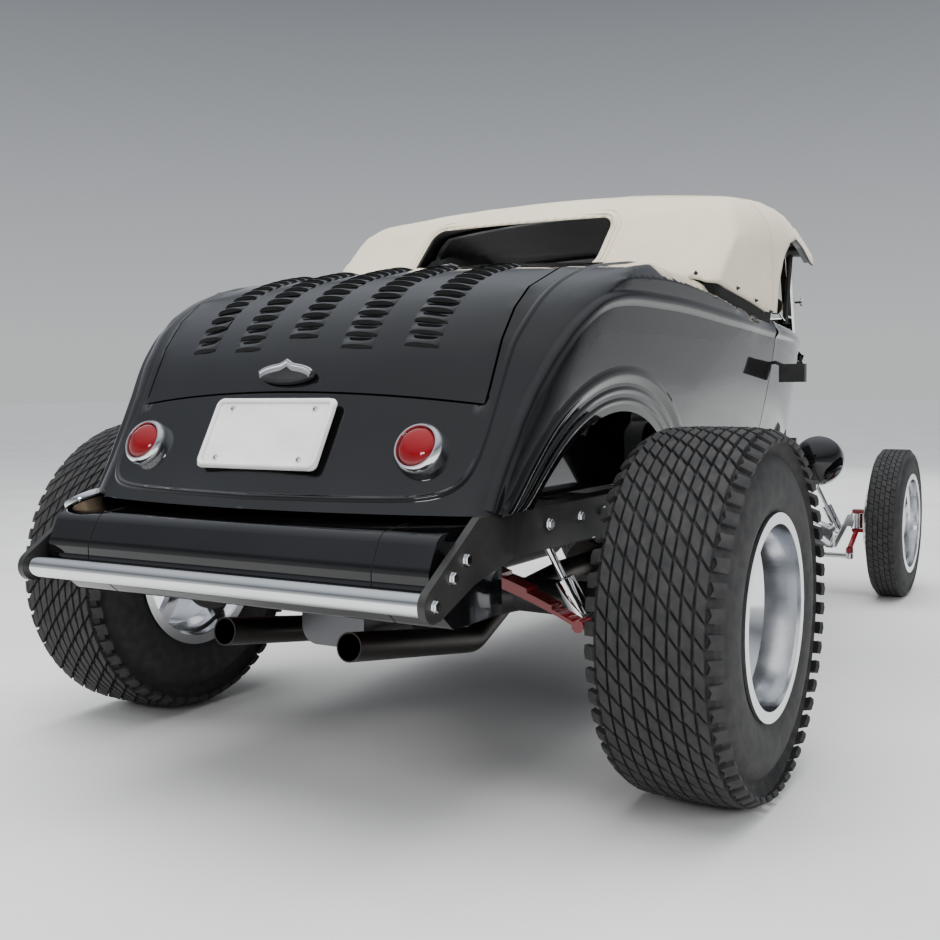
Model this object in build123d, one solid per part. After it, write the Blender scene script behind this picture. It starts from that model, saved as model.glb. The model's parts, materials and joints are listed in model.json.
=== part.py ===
from build123d import *
from math import cos, radians, sin, sqrt, tan
import os

# A fenderless street rod roadster on its own wheels, with a lift-off cloth top.
# Every piece is drawn with y = 0 at the rear axle: x to the car's left, y aft, z up from the floor.
# The finished pieces are then shifted so that the origin lies under the middle of the whole car.

# Wheels and axles
wheelbase = 2692.0
rear_tyre_radius = 401.5
rear_tyre_width = 270.0
rear_tyre_x = 810.0
rear_rim_radius = 222.0
rear_rim_width = 262.0
front_tyre_radius = 307.5
front_tyre_width = 136.0
front_tyre_x = 690.0
front_rim_radius = 206.5
front_rim_width = 134.0
rim_wall = 7.0
hub_bore = 30.0
running_fit = 0.05
front_y = -wheelbase

# Overall length, from the front tyres to the tips of the rear frame horns
rear_bar_y = 703.0
rear_bar_z = 506.5
rear_bar_radius = 23.0
horn_tip_radius = 32.0
rear_overhang = rear_bar_y + horn_tip_radius
centre_shift = (wheelbase + front_tyre_radius - rear_overhang) / 2

# Frame, nose down by the rake ahead of the kick-up
rake = 2.0
kick_front_y = -480.0
kick_rear_y = -260.0
sill_height = 598.0
kick_height = 648.0
rail_depth = 148.0
rail_wall = 55.0
horn_inner_x = 513.5
horn_thickness = 16.0
horn_root_y = 400.0
front_horn_y = front_y - 240.0
front_horn_z = 432.0
front_horn_x = 285.0
front_bar_radius = 16.0

# Plan of the left rail's outer face: x, y
RAIL_PLAN = (
    (545.0, 400.0), (555.0, 250.0), (555.0, -1000.0), (430.0, -1800.0), (300.0, -2540.0),
    (front_horn_x, front_horn_y - 22.0),
)

# Fuel tank and filler
tank_half_width = 500.0
filler_base = (445.0, 585.0, 586.0)
filler_lean = (0.39, 0.10, 0.89)
filler_radius = 34.0
filler_length = 72.0
filler_cap_radius = 47.0

# Body shell
body_wall = 40.0
lid_wall = 25.0
panel_gap = 5.0
body_front_y = -1820.0
door_front_y = -1560.0
door_rear_y = -1005.0
sill_strip = 22.0
cockpit_rear_y = -430.0
cockpit_opening_y = -478.0
under_sill = 6.0
cockpit_front_y = -1545.0
door_top_inner_x = 485.0
cockpit_floor_z = 990.0
dash_y_range = (-1580.0, -1565.0)
tail_plan_radius = 1750.0
tail_bottom_y = 606.0
tail_corner_radius = 95.0
side_taper = 0.052
lid_half_width = 467.0
lid_front_y = -330.0
lid_low_y = 458.0
lid_low_z = 885.0
lid_slope = 62.0

# Hinges of the doors and of the deck lid
hinge_low = (564.0, door_front_y, 680.0)
hinge_high = (585.0, door_front_y, 1000.0)
hinge_heights = (680.0, 960.0)
hinge_pin_radius = 4.0
hinge_barrel_radius = 9.0
hinge_leaf = 20.0
hinge_strap_width = 24.0
hinge_gap = 0.6
lid_axis_y = lid_front_y - panel_gap / 2
lid_axis_z = 1197.0
lid_hinge_x = 250.0
lid_barrel_radius = 5.0
lid_pin_radius = 2.5
lid_barrel_half = 11.0
lid_barrel_end = 32.0
pocket_gap = 1.0

# Rear wheel arches, seen from the side
arch_y = 20.0
arch_z = 421.0
arch_radius = 415.0
wheelhouse_x = 450.0
wheelhouse_wall = 10.0

# Cloth top
cloth_wall = 8.0
cloth_clearance = 0.3
header_y = -1622.0
bow_depth = 12.0
bow_half_width = 13.0
rear_rail_end = (-887.0, 1258.0)

# Hoops of the top's frame: y, lowest height
BOWS = ((-1560.0, 1312.0), (-1180.0, 1312.0), (-900.0, 1000.0))

# Outline of the open side over the door: y, z
SIDE_OPENING = (
    (-1000.0, 900.0), (-1000.0, 1090.0), (-1020.0, 1180.0), (-1075.0, 1262.0), (-1150.0, 1318.0),
    (-1260.0, 1342.0), (-1400.0, 1328.0), (-1560.0, 1296.0), (header_y - 60.0, 1290.0),
    (header_y - 60.0, 900.0),
)

# Lower edge of the cloth along the body's shoulder: y, z
CLOTH_HEM = (
    (-1700.0, 900.0), (-1700.0, 1060.0), (-1100.0, 1072.0), (-1000.0, 1083.0), (-774.0, 1120.0),
    (-575.0, 1148.0), (-446.0, 1170.0), (-300.0, 1172.0), (-300.0, 900.0),
)

# Hood and grille shell
hood_wall = 4.0
hood_front_y = -2530.0
shell_front_y = -2655.0
shell_wall = 26.0
grille_bar_pitch = 15.0
grille_bar_width = 6.0
hood_axis_depth = 1.0
hood_rod_radius = 4.0

# Hinge knuckles of each hood half: side, y
HOOD_LEFT_KNUCKLES = ((1, -1880.0), (1, -2160.0), (1, -2440.0))
HOOD_RIGHT_KNUCKLES = ((-1, -1940.0), (-1, -2220.0), (-1, -2500.0))

# Ends of the hood: y, half width low, half width at the side crease, its height,
# half top, top height, crown, low edge
HOOD_STATIONS = (
    (body_front_y - 3.0, 400.0, 402.0, 965.0, 290.0, 1040.0, 32.0, 552.0),
    (hood_front_y + 3.0, 236.0, 226.0, 862.0, 165.0, 948.0, 30.0, 530.0),
)

# Crossmembers: y range, z range, half length
CROSSMEMBERS = (
    ((front_y - 45.0, front_y + 45.0), (432.0, 492.0), 255.0),
    ((front_y + 40.0, hood_front_y), (466.0, 492.0), 240.0),
    ((-2005.0, -1945.0), (430.0, 480.0), 350.0),
    ((-1330.0, -1270.0), (440.0, 490.0), 465.0),
    ((-640.0, -580.0), (470.0, 530.0), 505.0),
    ((105.0, 195.0), (572.0, 636.0), 505.0),
    ((340.0, 395.0), (572.0, 636.0), 505.0),
)

# Front axle and steering
kingpin_x = 535.0
kingpin_radius = 11.0
steer_arm = 135.0
tie_rod_z = 172.0
tie_rod_radius = 10.0
steering_wheel_radius = 178.0
axle_z = 214.0
axle_drop_x = 455.0
column_radius = 21.0
column_x = 310.0
column_top = (column_x, -1300.0, 985.0)
column_foot = (column_x, -1960.0, 523.0)

# Front brake drums
drum_radius = 176.0
drum_fins = 40

# Lamps and plate
tail_lamp_x = 370.0
tail_lamp_y = 488.0
tail_lamp_z = 766.0
tail_lamp_radius = 55.0
headlamp_x = 398.0
headlamp_y = -2550.0
headlamp_z = 567.0
headlamp_radius = 100.0
plate_y = 518.0
plate_z = 797.0
plate_tilt = 30.0


def sill_z(y):
    """Height of the frame's top line, which the body sits on."""
    if y > kick_front_y:
        return sill_height
    return sill_height - (kick_front_y - y) * tan(radians(rake))


# Stations of the body, each a section across the car:
# y, half width at the sill, half width at the belt, belt height, half width of the deck, deck height, crown
BODY_STATIONS = (
    (body_front_y, 400.0, 402.0, 965.0, 290.0, 1040.0, 32.0),
    (door_front_y, 500.0, 574.0, 1020.0, 500.0, 1068.0, 22.0),
    (door_rear_y, 556.0, 652.0, 1043.0, 598.0, 1094.0, 12.0),
    (cockpit_rear_y, 566.0, 648.0, 1075.0, 545.0, 1176.0, 12.0),
    (100.0, 560.0, 622.0, 1080.0, 530.0, 1172.0, 12.0),
    (720.0, 540.0, 590.0, 1080.0, 500.0, 1172.0, 12.0),
)

# Waterlines of the tail: y on the centre line, height, slope of the skin in degrees
TAIL_STATIONS = (
    (655.0, 560.0, 52.0),
    (606.0, 650.0, 54.0),
    (552.0, 724.0, 60.0),
    (458.0, 885.0, 62.0),
    (405.0, 990.0, 56.0),
    (352.0, 1057.0, 44.0),
    (290.0, 1104.0, 27.0),
    (150.0, 1156.0, 16.0),
    (-400.0, 1245.0, 8.0),
)

# Sections of the cloth top: y, half width at the body, half width of the roof's edge, its height, crown
TOP_STATIONS = (
    (header_y, 612.0, 598.0, 1330.0, 22.0),
    (-1420.0, 628.0, 592.0, 1398.0, 28.0),
    (-1200.0, 646.0, 586.0, 1436.0, 36.0),
    (-950.0, 655.0, 574.0, 1432.0, 38.0),
    (-700.0, 645.0, 560.0, 1405.0, 36.0),
    (-400.0, 640.0, 545.0, 1380.0, 30.0),
)

# Waterlines of the cloth top's back: y on the centre line, height, slope of the cloth in degrees
TOP_REAR_STATIONS = (
    (-395.0, 1100.0, 52.0),
    (-446.0, 1182.0, 52.0),
    (-640.0, 1378.0, 48.0),
    (-715.0, 1432.0, 30.0),
    (-860.0, 1466.0, 12.0),
    (-1300.0, 1540.0, 5.0),
)


def side_prism(points, half_width):
    """A block across the whole car from an outline of (y, z) points."""
    outline = Plane.YZ * make_face(Polyline(*points, close=True))
    return extrude(outline, amount=half_width, both=True)


def plan_prism(points, low, high):
    """An upright block from an outline of (x, y) points between two heights."""
    outline = Pos(0, 0, low) * make_face(Polyline(*points, close=True))
    return extrude(outline, amount=high - low)


def block(x_range, y_range, z_range):
    """A box between two corners."""
    centre = [(a + b) / 2 for a, b in (x_range, y_range, z_range)]
    size = [b - a for a, b in (x_range, y_range, z_range)]
    return Pos(*centre) * Box(*size)


def tube(start, end, radius, bore=0.0):
    """A straight round bar or pipe between two points."""
    line = Line(start, end)
    section = Circle(radius)
    if bore:
        section = section - Circle(bore)
    return extrude(Plane(origin=start, z_dir=line % 0) * section, amount=line.length)


def bent_tube(points, bend_radius, radius, bore=0.0):
    """A round bar or pipe along straight runs joined by tangent bends."""
    path = FilletPolyline(*points, radius=bend_radius)
    section = Circle(radius)
    if bore:
        section = section - Circle(bore)
    return sweep(Plane(origin=points[0], z_dir=path % 0) * section, path=path)


def turned(profile, centre):
    """A piece turned about an axis across the car, from (x, radius) points."""
    outline = Plane.XZ * make_face(Polyline(*profile, close=True))
    return Pos(*centre) * revolve(outline, axis=Axis.X, revolution_arc=360.0)


def mirrored(shape):
    return mirror(shape, about=Plane.YZ)


def solids_of(*shapes):
    """One piece made of several solids that don't touch."""
    return Compound([solid for shape in shapes for solid in shape.solids()])


def save(shape, name):
    """Shift a finished piece to the car's origin and write it."""
    moved = Pos(0, centre_shift, 0) * shape
    if len(moved.solids()) == 1:
        moved = moved.solids()[0]
    export_step(moved, f"parts/{name}.step")


def save_pair(shape, name):
    """Write a left piece and its mirror image on the right."""
    save(shape, f"{name}_left")
    save(mirrored(shape), f"{name}_right")


def body_section(station, inset, drop):
    """One closed section of the body, drawn inside the outer skin by the inset."""
    y, half_sill, half_belt, belt_z, half_deck, deck_z, crown = station
    sill = (half_sill - inset, sill_z(y) - drop)
    belt = (half_belt - inset, belt_z)
    deck = (half_deck - inset, deck_z - inset)
    side_bulge = 10.0
    bulge = ((sill[0] + belt[0]) / 2 + side_bulge, (sill[1] + belt[1]) / 2)
    shoulder = (deck[0] + (belt[0] - deck[0]) * 0.78, belt[1] + (deck[1] - belt[1]) * 0.70)
    top = ThreePointArc(deck, (0, deck[1] + crown), (-deck[0], deck[1]))
    bottom = Line((-sill[0], sill[1]), sill)
    outline = [bottom, top]
    for side in (1, -1):
        low, mid, edge = [(side * x, z) for x, z in (sill, belt, deck)]
        outline.append(ThreePointArc(low, (side * bulge[0], bulge[1]), mid))
        outline.append(ThreePointArc(mid, (side * shoulder[0], shoulder[1]), edge))
    plane = Plane(origin=(0, y, 0), x_dir=(1, 0, 0), z_dir=(0, -1, 0))
    return plane * make_face(Wire(outline))


def side_half_width(z):
    """Half width of the body's rear quarters at a height, just ahead of the tail."""
    _, half_sill, half_belt, belt_z, _, _, _ = BODY_STATIONS[4]
    share = min(max((z - sill_height) / (belt_z - sill_height), 0.0), 1.0)
    return half_sill + (half_belt - half_sill) * share + 40.0 * share * (1.0 - share) + 3.0


def waterline(y, z, slope, inset, half, plan_radius, corner, front_y):
    """A level section of a body's back, with a round plan and rounded corners."""
    back = y - inset * sin(radians(slope))
    half_back = half - inset - side_taper * (y - 100.0)
    half_front = half + 80.0 - inset
    radius = plan_radius - inset
    corner_y = back - radius + sqrt(radius**2 - half_back**2)
    outline = [
        Line((-half_front, front_y), (half_front, front_y)),
        Line((half_front, front_y), (half_back, corner_y)),
        ThreePointArc((half_back, corner_y), (0, back), (-half_back, corner_y)),
        Line((-half_back, corner_y), (-half_front, front_y)),
    ]
    face = make_face(Wire(outline))
    corners = [vertex for vertex in face.vertices() if vertex.Y > front_y + 1.0]
    face = fillet(corners, corner - inset)
    return Pos(0, 0, z - inset * cos(radians(slope))) * face


def tail_envelope(inset):
    """The space ahead of the tail's skin, as far in as the inset."""
    sections = [
        waterline(y, z, slope, inset, side_half_width(z), tail_plan_radius - tail_bottom_y + y,
                  tail_corner_radius, body_front_y - 80.0)
        for y, z, slope in TAIL_STATIONS
    ]
    return loft(sections, ruled=True)


def body_volume(inset, drop):
    """The body's closed outer form, or a smaller one that hollows it out."""
    sections = [body_section(station, inset, drop) for station in BODY_STATIONS]
    return loft(sections) & tail_envelope(inset)


def lid_region(gap, front_gap):
    """The block that the deck lid is cut from, larger by the gap for its opening."""
    slope = radians(lid_slope)
    normal = (sin(slope), cos(slope))
    along = (cos(slope), -sin(slope))
    low = (lid_low_y + along[0] * gap, lid_low_z + along[1] * gap)
    outside = (low[0] + normal[0] * 80.0, low[1] + normal[1] * 80.0)
    inside = (low[0] - normal[0] * 60.0, low[1] - normal[1] * 60.0)
    front = lid_front_y - front_gap
    points = (outside, (outside[0], 1300.0), (front, 1300.0), (front, 1100.0), (240.0, 1000.0), inside)
    return side_prism(points, lid_half_width + gap)


def hinge_point(z):
    """A point on the left door's hinge line."""
    share = (z - hinge_low[2]) / (hinge_high[2] - hinge_low[2])
    return tuple(a + (b - a) * share for a, b in zip(hinge_low, hinge_high))


def hinge_leaf_solid(low, high, y_reach):
    """One barrel of a door hinge with its strap towards the body's skin."""
    x, y, _ = hinge_point((low + high) / 2)
    barrel = tube(hinge_point(low), hinge_point(high), hinge_barrel_radius)
    return barrel + block((x - 75.0, x), sorted((y, y + y_reach)), (low + 1.0, high - 1.0))


def door_hinges(outer):
    """The left door's hinges: the door's barrels, then the cowl's barrels with their pins."""
    moving, fixed = [], []
    for z in hinge_heights:
        half = hinge_leaf / 2
        pin_bore = tube(hinge_point(z - 60.0), hinge_point(z + 60.0), hinge_pin_radius + running_fit)
        leaf = hinge_leaf_solid(z - half + hinge_gap, z + half - hinge_gap, hinge_strap_width)
        moving.append(leaf - outer - pin_bore)
        for low, high in ((z - half - hinge_leaf, z - half), (z + half, z + half + hinge_leaf)):
            fixed.append(hinge_leaf_solid(low, high, -hinge_strap_width) - outer)
        reach = 1.5 * hinge_leaf
        fixed.append(tube(hinge_point(z - reach), hinge_point(z + reach), hinge_pin_radius))
    return Compound(moving), Compound(fixed)


def lid_barrel(start_x, end_x, radius):
    """A round piece along the lid's hinge line."""
    return tube((start_x, lid_axis_y, lid_axis_z), (end_x, lid_axis_y, lid_axis_z), radius)


def hinge_lid(tub, lid):
    """Join the lid to the deck with two small barrel hinges in the gap at its front edge."""
    pocket_radius = lid_barrel_radius + pocket_gap
    for x in (-lid_hinge_x, lid_hinge_x):
        tub -= lid_barrel(x - lid_barrel_half - 0.5, x + lid_barrel_half + 0.5, pocket_radius)
        middle = lid_barrel(x - lid_barrel_half, x + lid_barrel_half, lid_barrel_radius)
        middle -= lid_barrel(x - lid_barrel_end, x + lid_barrel_end, lid_pin_radius + running_fit)
        for side in (-1, 1):
            inner, outer = x + side * (lid_barrel_half + 0.5), x + side * lid_barrel_end
            lid -= lid_barrel(inner, outer + side, pocket_radius)
            tub += lid_barrel(inner, outer, lid_barrel_radius)
        lid += middle
        lid -= lid_barrel(x - lid_barrel_end, x + lid_barrel_end, lid_pin_radius + running_fit)
        tub += lid_barrel(x - lid_barrel_end, x + lid_barrel_end, lid_pin_radius)
    return tub, lid


def door_region(gap):
    """The block that a left door is cut from, smaller by half the gap all round."""
    front = door_front_y + gap
    rear = door_rear_y - gap
    points = (
        (front, sill_z(front) + sill_strip + gap),
        (rear, sill_z(rear) + sill_strip + gap),
        (rear, 1200.0),
        (front, 1200.0),
    )
    wall_space = block((300.0, 800.0), (-2000.0, 0.0), (400.0, cockpit_floor_z))
    top_space = block((door_top_inner_x + gap, 800.0), (-2000.0, 0.0), (cockpit_floor_z, 1300.0))
    return side_prism(points, 750.0) & (wall_space + top_space)


def cockpit_opening():
    """The opening over the seats, between the windscreen and the deck."""
    points = (
        (470.0, cockpit_front_y), (568.0, door_rear_y), (560.0, door_rear_y + 200.0),
        (505.0, cockpit_opening_y), (-505.0, cockpit_opening_y), (-560.0, door_rear_y + 200.0),
        (-568.0, door_rear_y), (-470.0, cockpit_front_y),
    )
    return plan_prism(points, cockpit_floor_z, 1300.0)


def under_body():
    """The space under the frame's top line, which the body ends at."""
    nose_y = body_front_y - 100.0
    points = (
        (nose_y, sill_height - 400.0), (nose_y, sill_z(nose_y)), (kick_front_y, sill_height),
        (kick_rear_y, kick_height), (900.0, kick_height), (900.0, sill_height - 400.0),
    )
    return side_prism(points, 800.0)


def arch_cylinder(radius, x_from, x_to):
    """A round block across the arch on the left side."""
    return Pos((x_from + x_to) / 2, arch_y, arch_z) * Rot(0, 90, 0) * Cylinder(radius, x_to - x_from)


def wheelhouse(outer):
    """The left wheelhouse, an arched tray that closes the body inside the arch."""
    tray = arch_cylinder(arch_radius + wheelhouse_wall, wheelhouse_x - wheelhouse_wall, 800.0)
    tray -= arch_cylinder(arch_radius, wheelhouse_x, 810.0)
    return (tray & outer) - under_body()


def body_panels():
    """The body's own panels, all cut from one shell so that they meet."""
    outer = body_volume(0.0, under_sill)
    shell = outer - body_volume(body_wall, 60.0) - cockpit_opening() - under_body()
    thin_shell = outer - body_volume(lid_wall, 60.0)
    left_door = shell & door_region(panel_gap / 2)
    door_holes = door_region(-panel_gap / 2) + mirrored(door_region(-panel_gap / 2))
    cowl_space = block((-800.0, 800.0), (body_front_y - 10.0, door_front_y), (400.0, 1300.0))
    dash_space = block((-800.0, 800.0), (door_front_y, cockpit_front_y), (1000.0, 1300.0))
    cowl = (shell - door_holes) & (cowl_space + dash_space)
    tub = shell - door_holes - cowl_space - dash_space - lid_region(panel_gap / 2, panel_gap)
    for house, arch in (
        (wheelhouse(outer), arch_cylinder(arch_radius, wheelhouse_x, 800.0)),
        (mirrored(wheelhouse(outer)), mirrored(arch_cylinder(arch_radius, wheelhouse_x, 800.0))),
    ):
        tub = (tub - arch) + house
    lid = thin_shell & lid_region(-panel_gap / 2, 0.0)
    tub, lid = hinge_lid(tub, lid)
    door_side, cowl_side = door_hinges(outer)
    for leaf in door_side.solids():
        left_door = left_door + leaf
    for leaf in cowl_side.solids():
        cowl = cowl + leaf + mirrored(leaf)
    return tub, cowl, left_door, lid


def rail_z(y):
    """Height of the underside of the frame rails."""
    return sill_z(y) - rail_depth


def rail_outline():
    """Side view of a frame rail, kicked up over the rear axle and drooped to the front horn."""
    bend_y = front_y + 110.0
    return (
        (horn_root_y, kick_height - 88.0), (horn_root_y, kick_height), (kick_rear_y, kick_height),
        (kick_front_y, sill_height), (bend_y, sill_z(bend_y)), (front_y, 512.0),
        (front_horn_y, front_horn_z + 26.0), (front_horn_y - 22.0, front_horn_z + 8.0),
        (front_horn_y - 22.0, front_horn_z - 14.0), (front_horn_y, front_horn_z - 26.0),
        (front_y, 420.0), (bend_y - 40.0, rail_z(bend_y) + 8.0), (kick_front_y - 130.0, rail_z(kick_front_y)),
        (kick_rear_y - 60.0, 500.0), (kick_rear_y + 40.0, kick_height - 88.0),
    )


def frame_rails():
    """Boxed side rails, their crossmembers and the rear horns, welded into one frame."""
    inner = [(x - rail_wall, y) for x, y in reversed(RAIL_PLAN)]
    side = side_prism(rail_outline(), 700.0)
    rail = side & plan_prism([*RAIL_PLAN, *inner], 300.0, 800.0)
    horn_outline = (
        (horn_root_y - 20.0, kick_height - 88.0), (horn_root_y - 20.0, kick_height), (540.0, kick_height),
        (rear_bar_y + 16.0, rear_bar_z + 28.0), (rear_bar_y + 16.0, rear_bar_z - 28.0),
        (rear_bar_y - 20.0, rear_bar_z - 30.0), (560.0, 524.0),
    )
    horn_space = block((horn_inner_x, horn_inner_x + horn_thickness), (0.0, 800.0), (300.0, 800.0))
    horn = side_prism(horn_outline, 700.0) & horn_space
    eye = Pos(horn_inner_x + horn_thickness / 2, rear_bar_y, rear_bar_z) * Rot(0, 90, 0)
    horn += eye * Cylinder(horn_tip_radius, horn_thickness)
    rail += horn
    frame = rail + mirrored(rail)
    for y_range, z_range, half in CROSSMEMBERS:
        frame += block((-half, half), y_range, z_range)
    return frame


def rear_spreader_bar():
    start = (-horn_inner_x, rear_bar_y, rear_bar_z)
    return tube(start, (horn_inner_x, rear_bar_y, rear_bar_z), rear_bar_radius)


def front_spreader_bar():
    reach = front_horn_x - rail_wall
    start = (-reach, front_horn_y, front_horn_z)
    return tube(start, (reach, front_horn_y, front_horn_z), front_bar_radius)


def fuel_tank():
    """A slim tank between the rear horns, with a rounded back and mounting lugs."""
    outline = Plane.YZ * make_face(Polyline(
        (402.0, 440.0), (590.0, 440.0), (674.0, 510.0), (674.0, 560.0), (640.0, 622.0), (402.0, 645.0),
        close=True,
    ))
    tank = extrude(outline, amount=tank_half_width, both=True)
    long_edges = tank.edges().filter_by(Axis.X).filter_by(lambda edge: edge.center().Y > 500.0)
    tank = fillet(long_edges, 34.0)
    for side in (-1, 1):
        for y in (450.0, 580.0):
            reach = sorted((side * tank_half_width, side * horn_inner_x))
            tank += block(reach, (y, y + 40.0), (580.0, 610.0))
    return tank


def filler_cap():
    """The fuel filler's neck, its knurled collar and its round cap."""
    plane = Plane(origin=filler_base, z_dir=filler_lean)
    neck = plane * (Pos(0, 0, filler_length / 2) * Cylinder(filler_radius, filler_length))
    cap = plane * (Pos(0, 0, filler_length) * Cylinder(filler_cap_radius, 14.0))
    return (neck + cap) - fuel_tank()


def rear_wheel():
    """A deep dished rim with a spoked centre, about the left rear hub."""
    half = rear_rim_width / 2
    seat = rear_rim_radius - 17.0
    outer = [(-half, rear_rim_radius), (-half + 7, rear_rim_radius), (-half + 9, seat), (-62.0, seat - 4),
             (-42.0, 180.0), (20.0, 180.0), (48.0, seat - 4), (half - 9, seat), (half - 7, rear_rim_radius),
             (half, rear_rim_radius)]
    inner = [(x, radius - rim_wall) for x, radius in outer[2:8]]
    inner = [(-half, seat - rim_wall), *inner, (half, seat - rim_wall)]
    rim = turned([*outer, *reversed(inner)], (0, 0, 0))
    return rim + wheel_centre(-86.0, 200.0, 5)


def wheel_centre(face_x, radius, spokes):
    """A wheel's centre: a hub, a rim ring and straight spokes, bored for the axle stub."""
    ring = turned([(face_x, radius - 12), (face_x + 22, radius - 12), (face_x + 22, radius), (face_x, radius)],
                  (0, 0, 0))
    hub = turned([(face_x - 6, 0), (face_x + 40, 0), (face_x + 34, 52), (face_x - 6, 66)], (0, 0, 0))
    centre = ring + hub
    for index in range(spokes):
        spoke = Pos(face_x + 12, 0, radius / 2 + 16) * Box(20.0, 34.0, radius - 40.0)
        centre += Rot(360.0 * index / spokes, 0, 0) * spoke
    stub_depth = 60.0
    bore = Pos(face_x - 6 + stub_depth / 2 - 30, 0, 0) * Rot(0, 90, 0) * Cylinder(hub_bore, stub_depth)
    return centre - bore


def tyre(radius, width, bore, shoulder):
    """A tyre's outer form: a flat tread, rounded shoulders and bulged walls."""
    half = width / 2
    profile = [(-half * 0.80, bore), (half * 0.80, bore), (half * 0.98, bore + (radius - bore) * 0.30),
               (half, bore + (radius - bore) * 0.62), (half * 0.97, radius - shoulder),
               (half * 0.86, radius - shoulder * 0.22), (half * 0.45, radius), (-half * 0.45, radius),
               (-half * 0.86, radius - shoulder * 0.22), (-half * 0.97, radius - shoulder),
               (-half, bore + (radius - bore) * 0.62), (-half * 0.98, bore + (radius - bore) * 0.30)]
    return turned(profile, (0, 0, 0))


def rear_axle():
    """The quick-change centre, its tapered bells and tubes, and the brake backing plates."""
    stub_end = rear_tyre_x - 65.0
    bells = turned([(-stub_end, 0), (-stub_end, hub_bore - running_fit),
                    (-640.0, hub_bore - running_fit), (-640.0, 120.0), (-628.0, 120.0), (-628.0, 44.0),
                    (-330.0, 40.0), (-95.0, 104.0), (-85.0, 128.0), (85.0, 128.0), (95.0, 104.0),
                    (330.0, 40.0), (628.0, 44.0), (628.0, 120.0), (640.0, 120.0),
                    (640.0, hub_bore - running_fit), (stub_end, hub_bore - running_fit), (stub_end, 0)],
                   (0, 0, rear_tyre_radius))
    for side in (-1, 1):
        perch = tube((side * 560.0, 30.0, 386.0), (side * 560.0, 137.0, 376.0), 13.0)
        bells = bells + perch
    return bells


def quick_change_cover():
    """The gear case behind the axle's centre."""
    case = block((-78.0, 78.0), (90.0, 262.0), (rear_tyre_radius - 92.0, rear_tyre_radius + 96.0))
    case = fillet(case.edges().filter_by(Axis.Y), 36.0)
    lid = block((-88.0, 88.0), (262.0, 300.0), (rear_tyre_radius - 102.0, rear_tyre_radius + 106.0))
    return (case + fillet(lid.edges().filter_by(Axis.Y), 42.0)) - rear_axle()


def leaf_spring(y, eye_x, eye_z, centre_z, width, leaf, leaves):
    """A transverse leaf spring, arched down to its eyes, with shorter leaves above."""
    spring = None
    for index in range(leaves):
        reach = eye_x * (1.0 - 0.11 * index)
        drop = (centre_z - eye_z) * (reach / eye_x) ** 2
        lift = leaf * index
        top = centre_z + lift
        low = Line((-reach, top - drop), (-reach, top - drop + leaf))
        over = ThreePointArc((-reach, top - drop + leaf), (0, top + leaf), (reach, top - drop + leaf))
        end = Line((reach, top - drop + leaf), (reach, top - drop))
        under = ThreePointArc((reach, top - drop), (0, top), (-reach, top - drop))
        face = make_face(Wire([low, over, end, under]))
        plane = Plane(origin=(0, y + width / 2, 0), x_dir=(1, 0, 0), z_dir=(0, -1, 0))
        leaf_solid = extrude(plane * face, amount=width)
        spring = leaf_solid if spring is None else spring + leaf_solid
    for side in (-1, 1):
        eye = Pos(side * eye_x, y, eye_z + leaf / 2) * Rot(90, 0, 0) * Cylinder(14.0, width)
        spring += eye
    return spring


def brake_drum():
    """The left front drum, with a ring of cooling fins across its rim."""
    drum = turned([(-62.0, 0), (-62.0, drum_radius - 14), (-58.0, drum_radius - 6), (8.0, drum_radius - 6),
                   (8.0, drum_radius - 40), (30.0, 60.0), (30.0, 0)], (0, 0, 0))
    hollow = turned([(-70.0, 0), (-70.0, drum_radius - 22), (-8.0, drum_radius - 22), (-8.0, 0)], (0, 0, 0))
    drum -= hollow
    drum -= Rot(0, 90, 0) * Cylinder(hub_bore, 100.0)
    fin = Pos(-26.0, 0, drum_radius - 8) * Box(60.0, 8.0, 16.0)
    for index in range(drum_fins):
        drum += Rot(360.0 * index / drum_fins, 0, 0) * fin
    return drum


def front_wheel():
    """A narrow polished rim with a spoked centre, about the left front hub."""
    half = front_rim_width / 2
    seat = front_rim_radius - 16.0
    outer = [(-half, front_rim_radius), (-half + 7, front_rim_radius), (-half + 9, seat), (-30.0, seat - 2),
             (-16.0, 170.0), (16.0, 170.0), (30.0, seat - 2), (half - 9, seat), (half - 7, front_rim_radius),
             (half, front_rim_radius)]
    inner = [(x, radius - rim_wall) for x, radius in outer[2:8]]
    inner = [(-half, seat - rim_wall), *inner, (half, seat - rim_wall)]
    rim = turned([*outer, *reversed(inner)], (0, 0, 0))
    return rim + wheel_centre(2.0, 168.0, 5)


def front_axle():
    """A dropped beam between the two kingpin bosses."""
    beam = ((kingpin_x, front_tyre_radius), (kingpin_x - 35.0, front_tyre_radius), (axle_drop_x, axle_z))
    centre = Plane(origin=(0, front_y, 0), x_dir=(1, 0, 0), z_dir=(0, -1, 0))
    half_height = 24.0
    right = [(-x, z) for x, z in beam]
    path = [*beam, *reversed(right)]
    outline = centre * make_face(Polyline(
        *[(x, z + half_height) for x, z in path], *[(x, z - half_height) for x, z in reversed(path)], close=True,
    ))
    solid = extrude(outline, amount=22.0, both=True)
    for side in (-1, 1):
        boss = Pos(side * kingpin_x, front_y, front_tyre_radius) * Cylinder(25.0, 62.0)
        solid = solid + boss
        solid -= Pos(side * kingpin_x, front_y, front_tyre_radius) * Cylinder(kingpin_radius + running_fit, 90.0)
    return solid


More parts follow.
